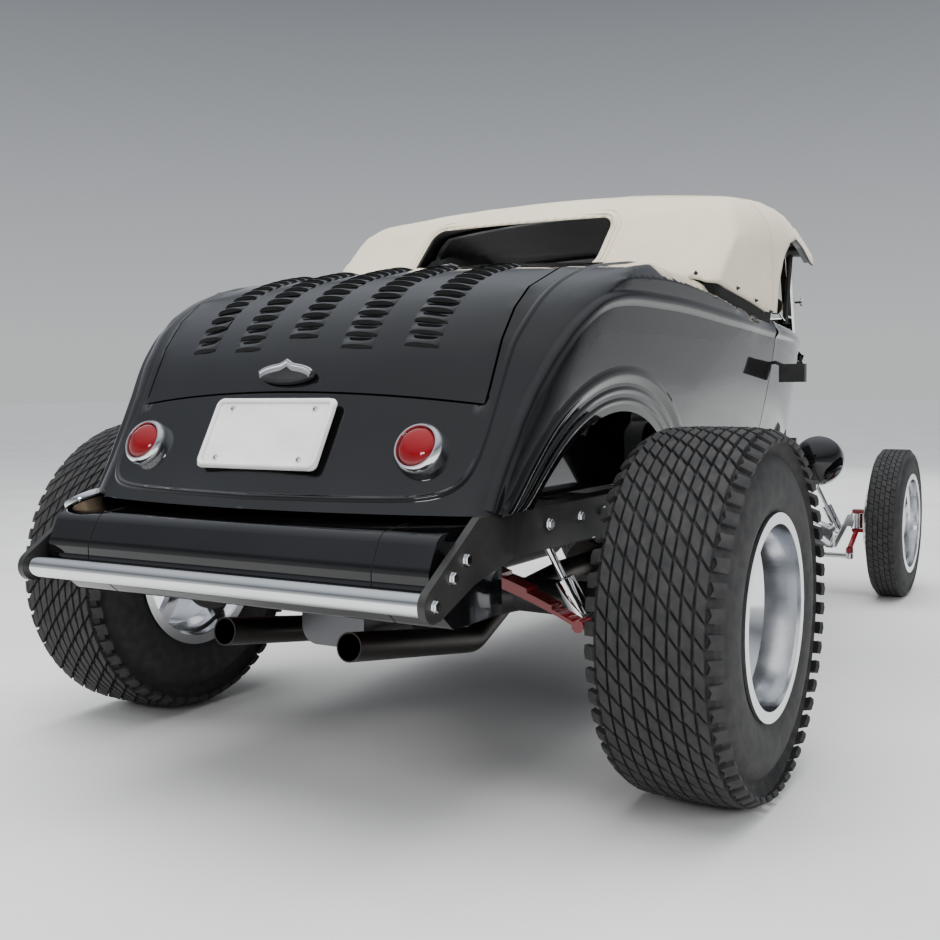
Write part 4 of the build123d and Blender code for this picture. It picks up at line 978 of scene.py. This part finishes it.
def on_tail(x, y, z, slope):
    """A matrix whose local z leans back from straight up by a slope in degrees."""
    angle = math.radians(slope)
    z_axis = Vector((0, math.sin(angle), math.cos(angle)))
    x_axis = Vector((-1, 0, 0))
    y_axis = z_axis.cross(x_axis)
    turn = Matrix((x_axis, y_axis, z_axis)).transposed().to_4x4()
    return Matrix.Translation(place(x, y, z)) @ turn


def upright_mesh(profile, steps=64, closed=False):
    """A disc or ring turned about z from (height, radius) points in millimetres."""
    return moved_mesh(turned_mesh(profile, steps, closed), Matrix.Rotation(-math.pi / 2, 4, "Y"))


lamp_x_mm, lamp_y_mm, lamp_z_mm = 370.0, 488.0, 766.0
BEZEL_PROFILE = ((-14, 55.0), (12, 55.0), (19, 54.0), (25, 51.0), (28.5, 47.5), (28.5, 44.5), (25, 42.6),
                 (10, 42.0), (-14, 42.0))
lens_base_mm = 18.0
lens_rise_mm = 19.0
lens_radius_mm = 42.4
lens_ridge_mm = 0.5
lens_steps = 27


def lens_profile():
    """A domed lens with fine moulded rings."""
    points = [(6.0, 0.0), (6.0, lens_radius_mm), (lens_base_mm, lens_radius_mm)]
    for step in range(1, lens_steps):
        angle = step / lens_steps * math.pi / 2
        height = lens_base_mm + lens_rise_mm * math.sin(angle) + (lens_ridge_mm if step % 2 else 0.0)
        points.append((height, lens_radius_mm * math.cos(angle)))
    return [*points, (37.3, 0.0)]


def make_tail_lamps():
    """Two round lamps: a bright bezel, a red lens and a reflector behind it."""
    bezels, lenses, bulbs = [], [], []
    for side in (1, -1):
        seat = on_tail(side * lamp_x_mm, lamp_y_mm, lamp_z_mm, tail_slope)
        bezels.append(moved_mesh(upright_mesh(BEZEL_PROFILE, 72, closed=True), seat))
        lenses.append(moved_mesh(upright_mesh(lens_profile()), seat))
        bulbs.append(moved_mesh(upright_mesh([(4.5, 0.0), (4.5, 41.0), (5.5, 41.0), (5.5, 0.0)]), seat))
    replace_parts(finish_piece(merged(bezels), "lamp_bezels", "chrome"), "tail_lamp_bezels")
    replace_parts(finish_piece(merged(lenses), "lamp_lenses", "red_lens"), "tail_lamp_lenses")
    finish_piece(merged(bulbs), "lamp_reflectors", "chrome", material=reflector)


plate_place_mm = (0.0, 518.0, 797.0)
plate_outline = rounded_outline(0.296, 0.141, 0.012)
plate_frame_outline = rounded_outline(0.321, 0.166, 0.014)
plate_lip_outline = rounded_outline(0.308, 0.153, 0.013)
PLATE_BOLTS = ((-112, 58), (112, 58), (-112, -60), (112, -60))


def screw_mesh(radius, height):
    """A domed screw head, in millimetres."""
    profile = [(0.0, radius), (height * 0.5, radius), (height * 0.85, radius * 0.7), (height, 0.0)]
    return upright_mesh(profile, 20)


def make_plate():
    """A blank plate with a raised rim, in a frame held by four screws."""
    seat = on_tail(*plate_place_mm, plate_slope)
    face = plate_mesh(plate_outline, ((0.0045, 0.99), (0.0058, 1.0), (0.0062, 0.985), (0.0056, 0.965)))
    border = plate_mesh(plate_frame_outline, ((-0.002, 0.97), (0.0, 1.0), (0.0045, 1.0), (0.0052, 0.99)))
    ring = [Vector((x, y, 0.0062)) for x, y in plate_lip_outline]
    lip = swept_mesh(ring, 0.0058, resolution=4, cyclic=True)
    backing = swept_mesh([Vector((x, 0, -0.010)) for x in (-0.11, 0.11)], 0.012)
    screws = [moved_mesh(screw_mesh(6.0, 3.5), Matrix.Translation((x / 1000, y / 1000, 0.0060)))
              for x, y in PLATE_BOLTS]
    finish_piece(moved_mesh(face, seat), "plate_face", "plate")
    frame_piece = finish_piece(moved_mesh(merged([border, lip, backing]), seat), "plate_frame", "plate")
    finish_piece(moved_mesh(merged(screws), seat), "plate_screws", "chrome")
    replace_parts(frame_piece, "number_plate")


handle_place_mm = (0.0, 447.0, 922.0)
brow_half_width = 0.071
brow_rise = 0.021
brow_peak = 0.010
# The blade under the brow: how far each row lies below the brow, and how high it stands
BLADE_ROWS = ((0.0, 0.010), (0.006, 0.012), (0.013, 0.009))


def ellipse(half_x, half_y, steps=48):
    """An (x, y) outline of an ellipse."""
    return [(half_x * math.cos(2 * math.pi * k / steps), half_y * math.sin(2 * math.pi * k / steps))
            for k in range(steps)]


def brow_line():
    """The handle's brow: a low arch with a peak in its middle."""
    points = []
    for step in range(25):
        share = step / 12 - 1
        arch = brow_rise * math.sqrt(max(0.0, 1 - share * share * 0.96))
        peak = brow_peak * max(0.0, 1 - abs(share) / 0.30) ** 1.5
        points.append(Vector((-share * brow_half_width, arch + peak - 0.002, 0.0105 - 0.004 * abs(share))))
    return points


def make_handle():
    """The lid's handle: an oval cup under a peaked bright brow, with its base and cup black as painted shade
    in the handle's hollow.
    """
    seat = on_tail(*handle_place_mm, tail_slope)
    base = plate_mesh(ellipse(0.075, 0.022), ((-0.004, 1.0), (0.002, 1.0), (0.005, 0.96), (0.0055, 0.9)))
    cup = plate_mesh(ellipse(0.066, 0.0155), ((0.0050, 1.0), (0.0062, 0.97)))
    brow = brow_line()
    shade = [[(p.x * (1 - drop * 4), p.y - drop, lift - 0.003 * abs(p.x) / 0.075) for p in brow]
             for drop, lift in BLADE_ROWS]
    bright = merged([swept_mesh(brow, 0.0046, resolution=4), strip_mesh(shade)])
    handle = finish_piece(moved_mesh(bright, seat), "lid_pull", "chrome", "deck_lid")
    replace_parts(handle, "lid_handle")
    # The black base and cup are painted shade for the hollow under the brow.
    finish_piece(moved_mesh(merged([base, cup]), seat), "lid_pull_cup", "black_trim", "deck_lid")


def border_of(rows):
    """The points round the edge of a grid of rows, in order."""
    return [*rows[0], *[row[-1] for row in rows[1:]], *reversed(rows[-1][:-1]),
            *[row[0] for row in reversed(rows[1:-1])]]


def strip_mesh(rows, depth=Vector((0, 0, -0.0012))):
    """A thin plate through rows of points, closed all round."""
    def build(shape):
        upper = [[shape.verts.new(point) for point in row] for row in rows]
        lower = [[shape.verts.new(Vector(point) + depth) for point in row] for row in rows]
        for grid in (upper, lower):
            for first, second in zip(grid, grid[1:]):
                join_rows(shape, first, second)
        join_rows(shape, border_of(upper), border_of(lower), closed=True)
    return mesh_of(build)


# Cloth top

# The cloth sinks between its bows, where it lies above the roof's lower edge
cloth_roof_z = 1.38
cloth_half_width = 0.56
cloth_sag = 0.007
BOW_PLACES = (-1622.0, -1560.0, -1180.0, -900.0, -640.0)
# The middle line of the space under the cloth, which its inside looks at
roof_middle_y = 0.05
roof_middle_z = 1.16
roof_half_length = 0.35
# The sewn seam over the rear bow: x, y, z from the left side up, and the height that its lines aim at
QUARTER_SEAM = ((700, -965, 1090), (700, -958, 1180), (700, -945, 1290), (640, -925, 1420),
                (560, -905, 1560), (300, -900, 1650))
seam_aim_mm = 1180.0
STUDS = ((640, -930, 1100), (650, -800, 1125), (655, -660, 1150), (600, -520, 1182))
STUD_PROFILE = ((0.0, 5.5), (2.0, 5.5), (4.5, 3.2), (8.0, 2.6), (9.5, 0.0))
# The rear window's width, height, corner and middle height, then each binding's distance and radius
rear_window = (0.590, 0.150, 0.036)
rear_window_z = 1.290
BINDINGS = ((0.012, 0.0045), (0.026, 0.0024))
# The cloth's hem beside the cockpit: y, z from the door back to the deck
HEM_LINE = ((-1010, 1082), (-900, 1099), (-774, 1120), (-670, 1134), (-575, 1148), (-500, 1161))


def sag_between(y_mm):
    """How far the cloth has sunk at a place along the roof, from 0 at a bow to 1 halfway."""
    for front, rear in zip(BOW_PLACES, BOW_PLACES[1:]):
        if front <= y_mm <= rear:
            return math.sin(math.pi * (y_mm - front) / (rear - front))
    return 0.0


def mark_inside(mesh):
    """Mark the faces that look at the middle line of the space under the cloth."""
    marks = mesh.attributes.new("inside", "FLOAT", "FACE")
    for polygon in mesh.polygons:
        middle = Vector((0.0, polygon.center.y, roof_middle_z))
        if abs(polygon.center.y - roof_middle_y) > roof_half_length:
            middle.y = roof_middle_y
        if polygon.normal.dot(polygon.center - middle) < 0:
            marks.data[polygon.index].value = 1.0


def make_cloth_top():
    """The canvas, sunk a little between its bows."""
    shape = relaxed_copy("soft_top", 0.026, 50.0, 8)
    for vertex in shape.verts:
        y_mm = vertex.co.y * 1000 - axle_shift_mm
        if vertex.co.z > cloth_roof_z:
            across = max(0.0, 1.0 - (abs(vertex.co.x) / cloth_half_width) ** 4)
            vertex.co.z -= cloth_sag * sag_between(y_mm) * across
    mesh = mesh_from(shape)
    # The marked inside faces get painted shade from the canvas's finish.
    mark_inside(mesh)
    top = finish_piece(mesh, "cloth_top", "cloth", angle=50.0)
    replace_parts(top, "soft_top")
    skins["soft_top"] = top
    return top


def make_hem_gap_shade():
    """Near-black strips that close the space between the cloth's hem and the shoulder: painted shade in that
    gap.
    """
    cloth, tub = panel_tree("soft_top"), panel_tree("body_tub")
    strips = []
    for side in (1, -1):
        upper, lower = [], []
        for y, z in smooth_line(HEM_LINE, 4):
            hit, _ = seat_on(cloth, place(side * beside_mm, y, z + 12.0), Vector((-side, 0, 0)))
            if hit is None:
                continue
            top = hit - Vector((side * 0.006, 0, 0))
            foot, _, _, _ = tub.find_nearest(top + Vector((0, 0, -0.03)))
            upper.append(top)
            lower.append(foot - Vector((0, 0, 0.004)))
        if len(upper) > 1:
            strips.append(strip_mesh([upper, lower], Vector((side * -0.003, 0, 0))))
    # The strips take the near-black recess finish as painted shade.
    finish_piece(merged(strips), "hem_seals", "black_trim", material=shade_and_seam_black)


def toward_middle(surface, x, y, z):
    """The canvas on the way from a place outside it to the middle of the space under it."""
    start = place(x, y, z)
    return seat_on(surface, start, (place(0, y, seam_aim_mm) - start).normalized())


def quarter_seam(surface):
    """The sewn seam that runs up from the hem, over the rear bow and down the other side."""
    line = smooth_line(QUARTER_SEAM, 4)
    points = []
    for x, y, z in [*line, *[(-x, y, z) for x, y, z in reversed(line)]]:
        hit, normal = toward_middle(surface, x * 1.4, y, z)
        if hit is not None and (not points or (hit - points[-1]).length > 0.004):
            points.append(hit + normal * 0.0002)
    return swept_mesh(points, 0.0028, resolution=2)


def window_binding(surface, grow, radius):
    """A sewn ring at a distance round the rear window."""
    width, height, corner = rear_window
    ring = []
    for x, z in rounded_outline(width + grow * 2, height + grow * 2, corner + grow):
        hit, normal = seat_on(surface, Vector((x, 2.2, z + rear_window_z)), Vector((0, -1, 0)))
        if hit is not None:
            ring.append(hit + normal * 0.0002)
    return swept_mesh(ring, radius, resolution=2, cyclic=True)


def make_cloth_details():
    """The canvas's seam, the rear window's bindings and the studs along the hem."""
    surface = panel_tree("soft_top")
    seams = [quarter_seam(surface), *[window_binding(surface, grow, radius) for grow, radius in BINDINGS]]
    finish_piece(merged(seams), "cloth_seams", "cloth")
    spots = []
    for side in (1, -1):
        for x, y, z in STUDS:
            hit, normal = seat_on(surface, place(side * beside_mm, y, z), Vector((-side, 0, 0)))
            if hit is not None:
                spots.append((hit, turn_matrix(normal)))
    studs = repeated(upright_mesh(STUD_PROFILE, 16), spots, FINISHES["black_trim"])
    finish_piece(studs, "cloth_studs", "black_trim")


# Seats

seat_channels = 10
backrest_depth = 0.10
backrest_lean = 104.0
backrest_place_mm = (0, -545.0, 858.0)


def pillow(width, depth, height, channels):
    """A crowned cushion with sewn channels along its depth and a rolled front edge."""
    def build(shape):
        across, along = 64, 28
        top, low = [], []
        for j in range(along + 1):
            v = j / along
            top.append([])
            low.append([])
            for i in range(across + 1):
                u = i / across
                edge = (math.sin(math.pi * u) ** 0.28) * (math.sin(math.pi * v) ** 0.28)
                channel = abs(math.sin(math.pi * u * channels)) ** 0.5
                pulled = 1.0 - 0.02 * (1 - edge)
                x = (u - 0.5) * width * pulled
                y = (v - 0.5) * depth * pulled
                z = height * (0.5 + 0.5 * edge * (0.86 + 0.14 * channel))
                top[-1].append(shape.verts.new((x, y, z)))
                low[-1].append(shape.verts.new((x, y, height * 0.5 * (1 - edge))))
        for grid in (top, low):
            for first, second in zip(grid, grid[1:]):
                join_rows(shape, first, second)
    return mesh_of(build)


def make_seats():
    """The seat's padded cushion and backrest, in ten sewn channels."""
    low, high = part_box("seat_cushion")
    size = high - low
    cushion = pillow(size.x, size.y, size.z, seat_channels)
    cushion.transform(Matrix.Translation(((low.x + high.x) / 2, (low.y + high.y) / 2, low.z)))
    piece = finish_piece(cushion, "seat_pad", "hide", angle=70.0)
    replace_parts(piece, "seat_cushion")
    low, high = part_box("seat_back")
    size = high - low
    back = pillow(size.x, size.z * 0.97, backrest_depth, seat_channels)
    turn = Matrix.Rotation(math.radians(backrest_lean), 4, "X")
    middle = Matrix.Translation(place(*backrest_place_mm))
    back.transform(middle @ turn @ Matrix.Translation((0, 0, -backrest_depth / 2)))
    rest = finish_piece(back, "seat_backrest", "hide", angle=70.0)
    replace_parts(rest, "seat_back")


# Small fittings

# Bolts on the outer faces of the frame's horns and rails
FRAME_BOLTS = ((529.8, 703.0, 506.5), (529.8, 640.0, 548.0), (529.8, 592.0, 575.0), (555.4, -80.0, 612.0),
               (555.4, 20.0, 612.0), (555.4, 150.0, 612.0), (555.4, 300.0, 612.0))
bolt_flats_mm = 19.0
bolt_height_mm = 8.0
TANK_SEAMS = (-374.0, 374.0)
tank_middle_mm = 540.0
tank_cast_mm = 400.0
filler_base_mm = (445.0, 585.0, 586.0)
filler_lean = (0.39, 0.10, 0.89)
COLLAR_PROFILE = ((-6.0, 0.0), (-6.0, 33.0), (58.0, 33.0), (60.0, 30.0), (60.0, 0.0))
CAP_PROFILE = ((60.0, 0.0), (60.0, 44.0), (63.0, 47.0), (71.0, 47.0), (75.0, 44.0), (77.5, 34.0),
               (78.5, 18.0), (79.0, 0.0))
knurl_rows = 16
knurls_round = 72
knurl_half = (0.0009, 0.0012)


def hex_mesh(across_flats, height):
    """A hexagon bolt head on its washer, in millimetres."""
    corner = across_flats / 2000 / math.cos(math.pi / 6)
    outline = [(corner * math.cos(math.pi / 3 * k), corner * math.sin(math.pi / 3 * k)) for k in range(6)]
    head = plate_mesh(outline, ((0.0012, 1.0), (height / 1000 * 0.8, 1.0), (height / 1000, 0.88)))
    washer_radius = across_flats * 0.72
    washer = upright_mesh([(0.0, 0.0), (0.0, washer_radius), (1.6, washer_radius), (1.6, 0.0)], 24)
    return merged([head, washer])


def make_bolts():
    """Hexagon bolts on both sides of the frame."""
    spots = [(place(side * x, y, z), turn_matrix((side, 0, 0), (0, 1, 0)))
             for side in (1, -1) for x, y, z in FRAME_BOLTS]
    mesh = repeated(hex_mesh(bolt_flats_mm, bolt_height_mm), spots, FINISHES["chrome"])
    finish_piece(mesh, "frame_bolts", "chrome")


def make_tank_seams():
    """Dark lines where the tank's end caps meet its middle."""
    surface = panel_tree("fuel_tank")
    seams = []
    for x in TANK_SEAMS:
        middle = place(x, tank_middle_mm, tank_middle_mm)
        points = []
        for step in range(40):
            angle = math.radians(-60 + 175 * step / 39)
            start = place(x, tank_middle_mm + tank_cast_mm * math.cos(angle),
                          tank_middle_mm + tank_cast_mm * math.sin(angle))
            hit, normal = seat_on(surface, start, (middle - start).normalized())
            if hit is not None:
                points.append(hit - normal * 0.0006)
        seams.append(swept_mesh(points, 0.0016, resolution=2))
    finish_piece(merged(seams), "tank_seams", "black_trim", material=shade_and_seam_black)


def make_filler():
    """A knurled bronze collar under a bright domed cap."""
    seat = Matrix.Translation(place(*filler_base_mm)) @ turn_matrix(filler_lean, (0, 1, 0)).to_4x4()
    x, y = knurl_half
    rib = prism_mesh([(-x, -y), (x, -y), (x, y), (-x, y)], 0.0013, 0.5)
    spots = []
    for row in range(knurl_rows):
        for step in range(knurls_round):
            angle = 2 * math.pi * (step + 0.5 * (row % 2)) / knurls_round
            outward = Vector((math.cos(angle), math.sin(angle), 0))
            spots.append((outward * 0.0330 + Vector((0, 0, 0.004 + row * 0.0034)), turn_matrix(outward)))
    collar = merged([upright_mesh(COLLAR_PROFILE, 64), repeated(rib, spots, FINISHES["bronze"])])
    piece = finish_piece(moved_mesh(collar, seat), "filler_collar", "bronze")
    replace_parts(piece, "filler_cap")
    finish_piece(moved_mesh(upright_mesh(CAP_PROFILE, 72), seat), "filler_lid", "chrome")


# Each arm's share of the way up the upright, and its foot on the screen's post
WING_ARMS = ((0.12, (548, -1566, 1116)), (0.93, (548, -1524, 1272)))
MIRROR_PROFILE = ((-5.0, 0.0), (-5.0, 18.0), (-2.0, 25.0), (2.5, 25.5), (4.0, 23.0), (3.0, 0.0))


def make_screen_fittings():
    """Wind-wing uprights with their arms, wing nuts and the round mirrors' discs."""
    uprights, arms, discs = [], [], []
    for side in (1, -1):
        low, high = place(side * 563, -1424, 1088), place(side * 563, -1478, 1318)
        beside = Vector((0, -0.022, 0))
        uprights.append(swept_mesh([low, (low + high) / 2, high], 0.0062, resolution=3))
        uprights.append(swept_mesh([low + beside, high + beside], 0.004, resolution=3))
        for share, (x, y, z) in WING_ARMS:
            arms.append(swept_mesh([low.lerp(high, share), place(side * x, y, z)], 0.0045))
        nut = place(side * 560, -1557, 1166)
        arms.append(swept_mesh([nut, nut + Vector((side * 0.024, 0, 0))], 0.0048))
        for rise in (1, -1):
            start = nut + Vector((side * 0.016, 0, 0))
            arms.append(swept_mesh([start, start + Vector((side * 0.009, 0, rise * 0.014))], 0.0034))
        foot, disc = low + Vector((0, 0.004, 0.012)), place(side * 560, -1326, 1141)
        middle = foot.lerp(disc, 0.5) + Vector((0, 0, -0.006))
        arms.append(swept_mesh([foot, middle, disc], 0.0034, kind="NURBS"))
        turn = turn_matrix((-side * 0.25, 1.0, 0.0)).to_4x4()
        discs.append(moved_mesh(upright_mesh(MIRROR_PROFILE, 40), Matrix.Translation(disc) @ turn))
    finish_piece(merged(uprights), "wind_wing_uprights", "black_trim")
    finish_piece(merged(arms), "wind_wing_arms", "chrome")
    finish_piece(merged(discs), "round_mirrors", "bronze")


# Hood side louvres: upright slots in one row along each side
hood_louvre_count = 22
hood_louvre_size = (0.200, 0.0150, 0.0060)
hood_louvre_rear_mm = -1895.0
hood_louvre_run_mm = 550.0


def make_hood_louvres():
    """A row of upright punched louvres in each hood side."""
    form = moved_mesh(louvre_mesh(*hood_louvre_size), Matrix.Rotation(math.pi / 2, 4, "Z"))
    surface = panel_tree("hood_sides")
    spots = []
    for side in (1, -1):
        for index in range(hood_louvre_count):
            y = hood_louvre_rear_mm - hood_louvre_run_mm * index / (hood_louvre_count - 1)
            start = place(side * beside_mm, y, 715.0 - 0.02 * index)
            hit, normal = seat_on(surface, start, Vector((-side, 0, 0)))
            if hit is None:
                continue
            up = (Vector((0, 0, 1)) - normal * normal.z).normalized()
            spots.append((hit + normal * 0.0003, Matrix((up.cross(normal), up, normal)).transposed()))
    finish_piece(repeated(form, spots, FINISHES["body_paint"]), "hood_louvres", "body_paint")


headlamp_mm = (398.0, -2620.0, 567.0)
headlamp_glass_mm = 88.0
HEADLAMP_RIM = ((-14.0, 96.0), (-10.0, 100.4), (0.0, 99.0), (4.0, 94.0), (3.0, 87.0), (-2.0, 87.0))


def make_lamp_fronts():
    """Headlamp glasses in bright rims, over their reflectors."""
    rims, glasses, bowls = [], [], []
    for side in (1, -1):
        x, y, z = headlamp_mm
        seat = Matrix.Translation(place(side * x, y, z)) @ turn_matrix((0, -1, 0)).to_4x4()
        angles = [math.pi / 2 * k / 12 for k in range(13)]
        dome = [(0.4 + 8.0 * math.cos(angle), headlamp_glass_mm * math.sin(angle)) for angle in angles]
        rims.append(moved_mesh(upright_mesh(HEADLAMP_RIM, 72), seat))
        glasses.append(moved_mesh(upright_mesh([*reversed(dome), (0.2, 0.0)], 72), seat))
        bowls.append(moved_mesh(upright_mesh([(0.15, headlamp_glass_mm), (0.15, 0.0)], 72), seat))
    finish_piece(merged(rims), "headlamp_rims", "chrome")
    finish_piece(merged(glasses), "headlamp_glasses", "glass")
    finish_piece(merged(bowls), "headlamp_bowls", "chrome", material=reflector)


# Gauges on the dashboard: x and radius in millimetres
GAUGES = ((0.0, 26.0), (-75.0, 26.0), (75.0, 26.0), (150.0, 42.0), (-150.0, 42.0))
tick_height = 0.0026
needle_height = 0.0030


def gauge_marks(seat, radius):
    """A gauge's eleven ticks and its needle."""
    marks = []
    for k in range(11):
        angle = math.radians(-130 + 26 * k)
        arm = Vector((math.sin(angle), math.cos(angle), 0)) * (radius - 9.0) / 1000
        rise = Vector((0, 0, tick_height))
        marks.append(swept_mesh([seat @ (arm + rise), seat @ (arm * 1.16 + rise)], 0.0005))
    tip = Vector((-0.6 * radius / 1000, 0.25 * radius / 1000, needle_height))
    return [*marks, swept_mesh([seat @ Vector((0, 0, needle_height)), seat @ tip], 0.0007)]


def make_gauges():
    """Round gauges with plain tick marks, in bright rims on the dashboard."""
    low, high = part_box("dashboard")
    middle = Vector((0.0, high.y + 0.0005, low.z + 0.62 * (high.z - low.z)))
    rims, dials, ticks = [], [], []
    for x, radius in GAUGES:
        seat = Matrix.Translation(middle + Vector((x / 1000, 0, 0))) @ turn_matrix((0, 1, 0)).to_4x4()
        rim = [(0.0, radius), (5.0, radius), (6.0, radius - 2.0), (4.0, radius - 4.5), (0.0, radius - 4.5)]
        rims.append(moved_mesh(upright_mesh(rim, 48), seat))
        dials.append(moved_mesh(upright_mesh([(2.0, radius - 4.0), (2.2, 0.0)], 48), seat))
        ticks.extend(gauge_marks(seat, radius))
    finish_piece(merged(rims), "gauge_rims", "chrome")
    finish_piece(merged(dials), "gauge_dials", "black_trim")
    finish_piece(merged(ticks), "gauge_ticks", "plate")


# Studio

floor_half = 60.0
# Soft lights: name, place, aim, width, height, power
LIGHTS = (
    ("overhead", (0.0, 1.0, 6.5), (0.0, 0.4, 0.5), 6.0, 9.0, 620.0),
    ("behind_left", (6.0, 6.0, 4.0), (0.0, 0.5, 0.7), 4.0, 3.0, 260.0),
    ("behind_right", (-6.5, 4.5, 3.6), (0.0, 0.5, 0.6), 4.0, 3.0, 300.0),
    ("front", (0.5, -8.0, 4.0), (0.0, 0.0, 0.7), 6.0, 3.0, 220.0),
    ("glint", (-0.8, 8.5, 3.6), (0.0, 1.4, 0.7), 1.8, 0.9, 90.0),
)
# The only lamp that paint and chrome reflect
seen_lamp = "glint"
sun_strength = 1.3
sun_angle = 70.0
room_strength = 0.95
# The room's tone at a share of the way up from the horizon
SKY_TONES = ((0.03, (0.62, 0.63, 0.64)), (0.16, (0.44, 0.46, 0.49)), (0.36, (0.16, 0.17, 0.19)),
             (0.66, (0.60, 0.64, 0.70)), (0.95, (0.95, 1.0, 1.05)))


def make_floor():
    """A wide pale floor."""
    corners = [(x * floor_half, y * floor_half, 0) for x, y in ((-1, -1), (1, -1), (1, 1), (-1, 1))]
    mesh = bpy.data.meshes.new("floor")
    mesh.from_pydata(corners, [], [(0, 1, 2, 3)])
    material = new_finish("pale_floor", (0.62, 0.62, 0.61), 0.75)
    vary_color(material, grain(material, 1.4, 8.0), (0.60, 0.60, 0.59), (0.66, 0.655, 0.645))
    mesh.materials.append(material)
    floor = bpy.data.objects.new("floor", mesh)
    bpy.context.scene.collection.objects.link(floor)


def add_lamp(light, spot, turn=(0, 0, 0)):
    """Put a light in the scene. Only one of them shows in reflections."""
    lamp = bpy.data.objects.new(light.name, light)
    lamp.location = spot
    lamp.rotation_euler = turn
    lamp.visible_glossy = light.name == seen_lamp
    bpy.context.scene.collection.objects.link(lamp)


def make_lights():
    """Large soft lamps and a wide sun."""
    for name, spot, aim, width, height, power in LIGHTS:
        light = bpy.data.lights.new(name, "AREA")
        light.shape = "RECTANGLE"
        light.size, light.size_y = width, height
        light.energy = power
        add_lamp(light, spot, (Vector(aim) - Vector(spot)).to_track_quat("-Z", "Y").to_euler())
    sun = bpy.data.lights.new("sky", "SUN")
    sun.energy = sun_strength
    sun.angle = math.radians(sun_angle)
    add_lamp(sun, (0.0, 0.0, 9.0))


def make_room():
    """The tones round the car, from the horizon up."""
    world = bpy.data.worlds.new("studio")
    world.use_nodes = True
    tree = world.node_tree
    coordinates = tree.nodes.new("ShaderNodeTexCoord")
    parts = tree.nodes.new("ShaderNodeSeparateXYZ")
    ramp = tree.nodes.new("ShaderNodeValToRGB")
    marks = ramp.color_ramp.elements
    marks.remove(marks[1])
    marks[0].position = SKY_TONES[0][0]
    marks[0].color = (*SKY_TONES[0][1], 1.0)
    for height, tone in SKY_TONES[1:]:
        marks.new(height).color = (*tone, 1.0)
    background = tree.nodes["Background"]
    tree.links.new(coordinates.outputs["Generated"], parts.inputs["Vector"])
    tree.links.new(parts.outputs["Z"], ramp.inputs["Fac"])
    tree.links.new(ramp.outputs["Color"], background.inputs["Color"])
    background.inputs["Strength"].default_value = room_strength
    bpy.context.scene.world = world


def make_camera():
    """The camera at the photograph's place."""
    data = bpy.data.cameras.new("camera")
    data.lens = camera_lens
    data.sensor_width = 36.0
    data.clip_start = 0.05
    data.clip_end = 200.0
    camera = bpy.data.objects.new("camera", data)
    camera.location = camera_place
    aim = Vector(camera_aim).to_track_quat("-Z", "Y").to_matrix().to_4x4()
    turn = aim @ Matrix.Rotation(math.radians(camera_roll), 4, "Z")
    camera.rotation_euler = turn.to_euler()
    bpy.context.scene.collection.objects.link(camera)
    bpy.context.scene.camera = camera


def dress_nodes():
    """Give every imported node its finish."""
    slots = {part["node"]: part["material_slot"] for part in frame["record"]["subparts"]}
    for name, node in nodes.items():
        node.data.materials.clear()
        # The quick-change cover takes the cast alloy darkened with painted shade.
        node.data.materials.append(cast_alloy if name == "quick_change_cover" else FINISHES[slots[name]])


dress_nodes()
make_camera()
make_lights()
make_room()
make_floor()
make_skins()
make_tyres()
make_louvres()
make_beads()
make_tail_lamps()
make_plate()
make_handle()
make_seats()
cloth_top = make_cloth_top()
make_cloth_details()
make_hem_gap_shade()
make_bolts()
make_tank_seams()
make_filler()
make_screen_fittings()
make_hood_louvres()
make_lamp_fronts()
make_gauges()
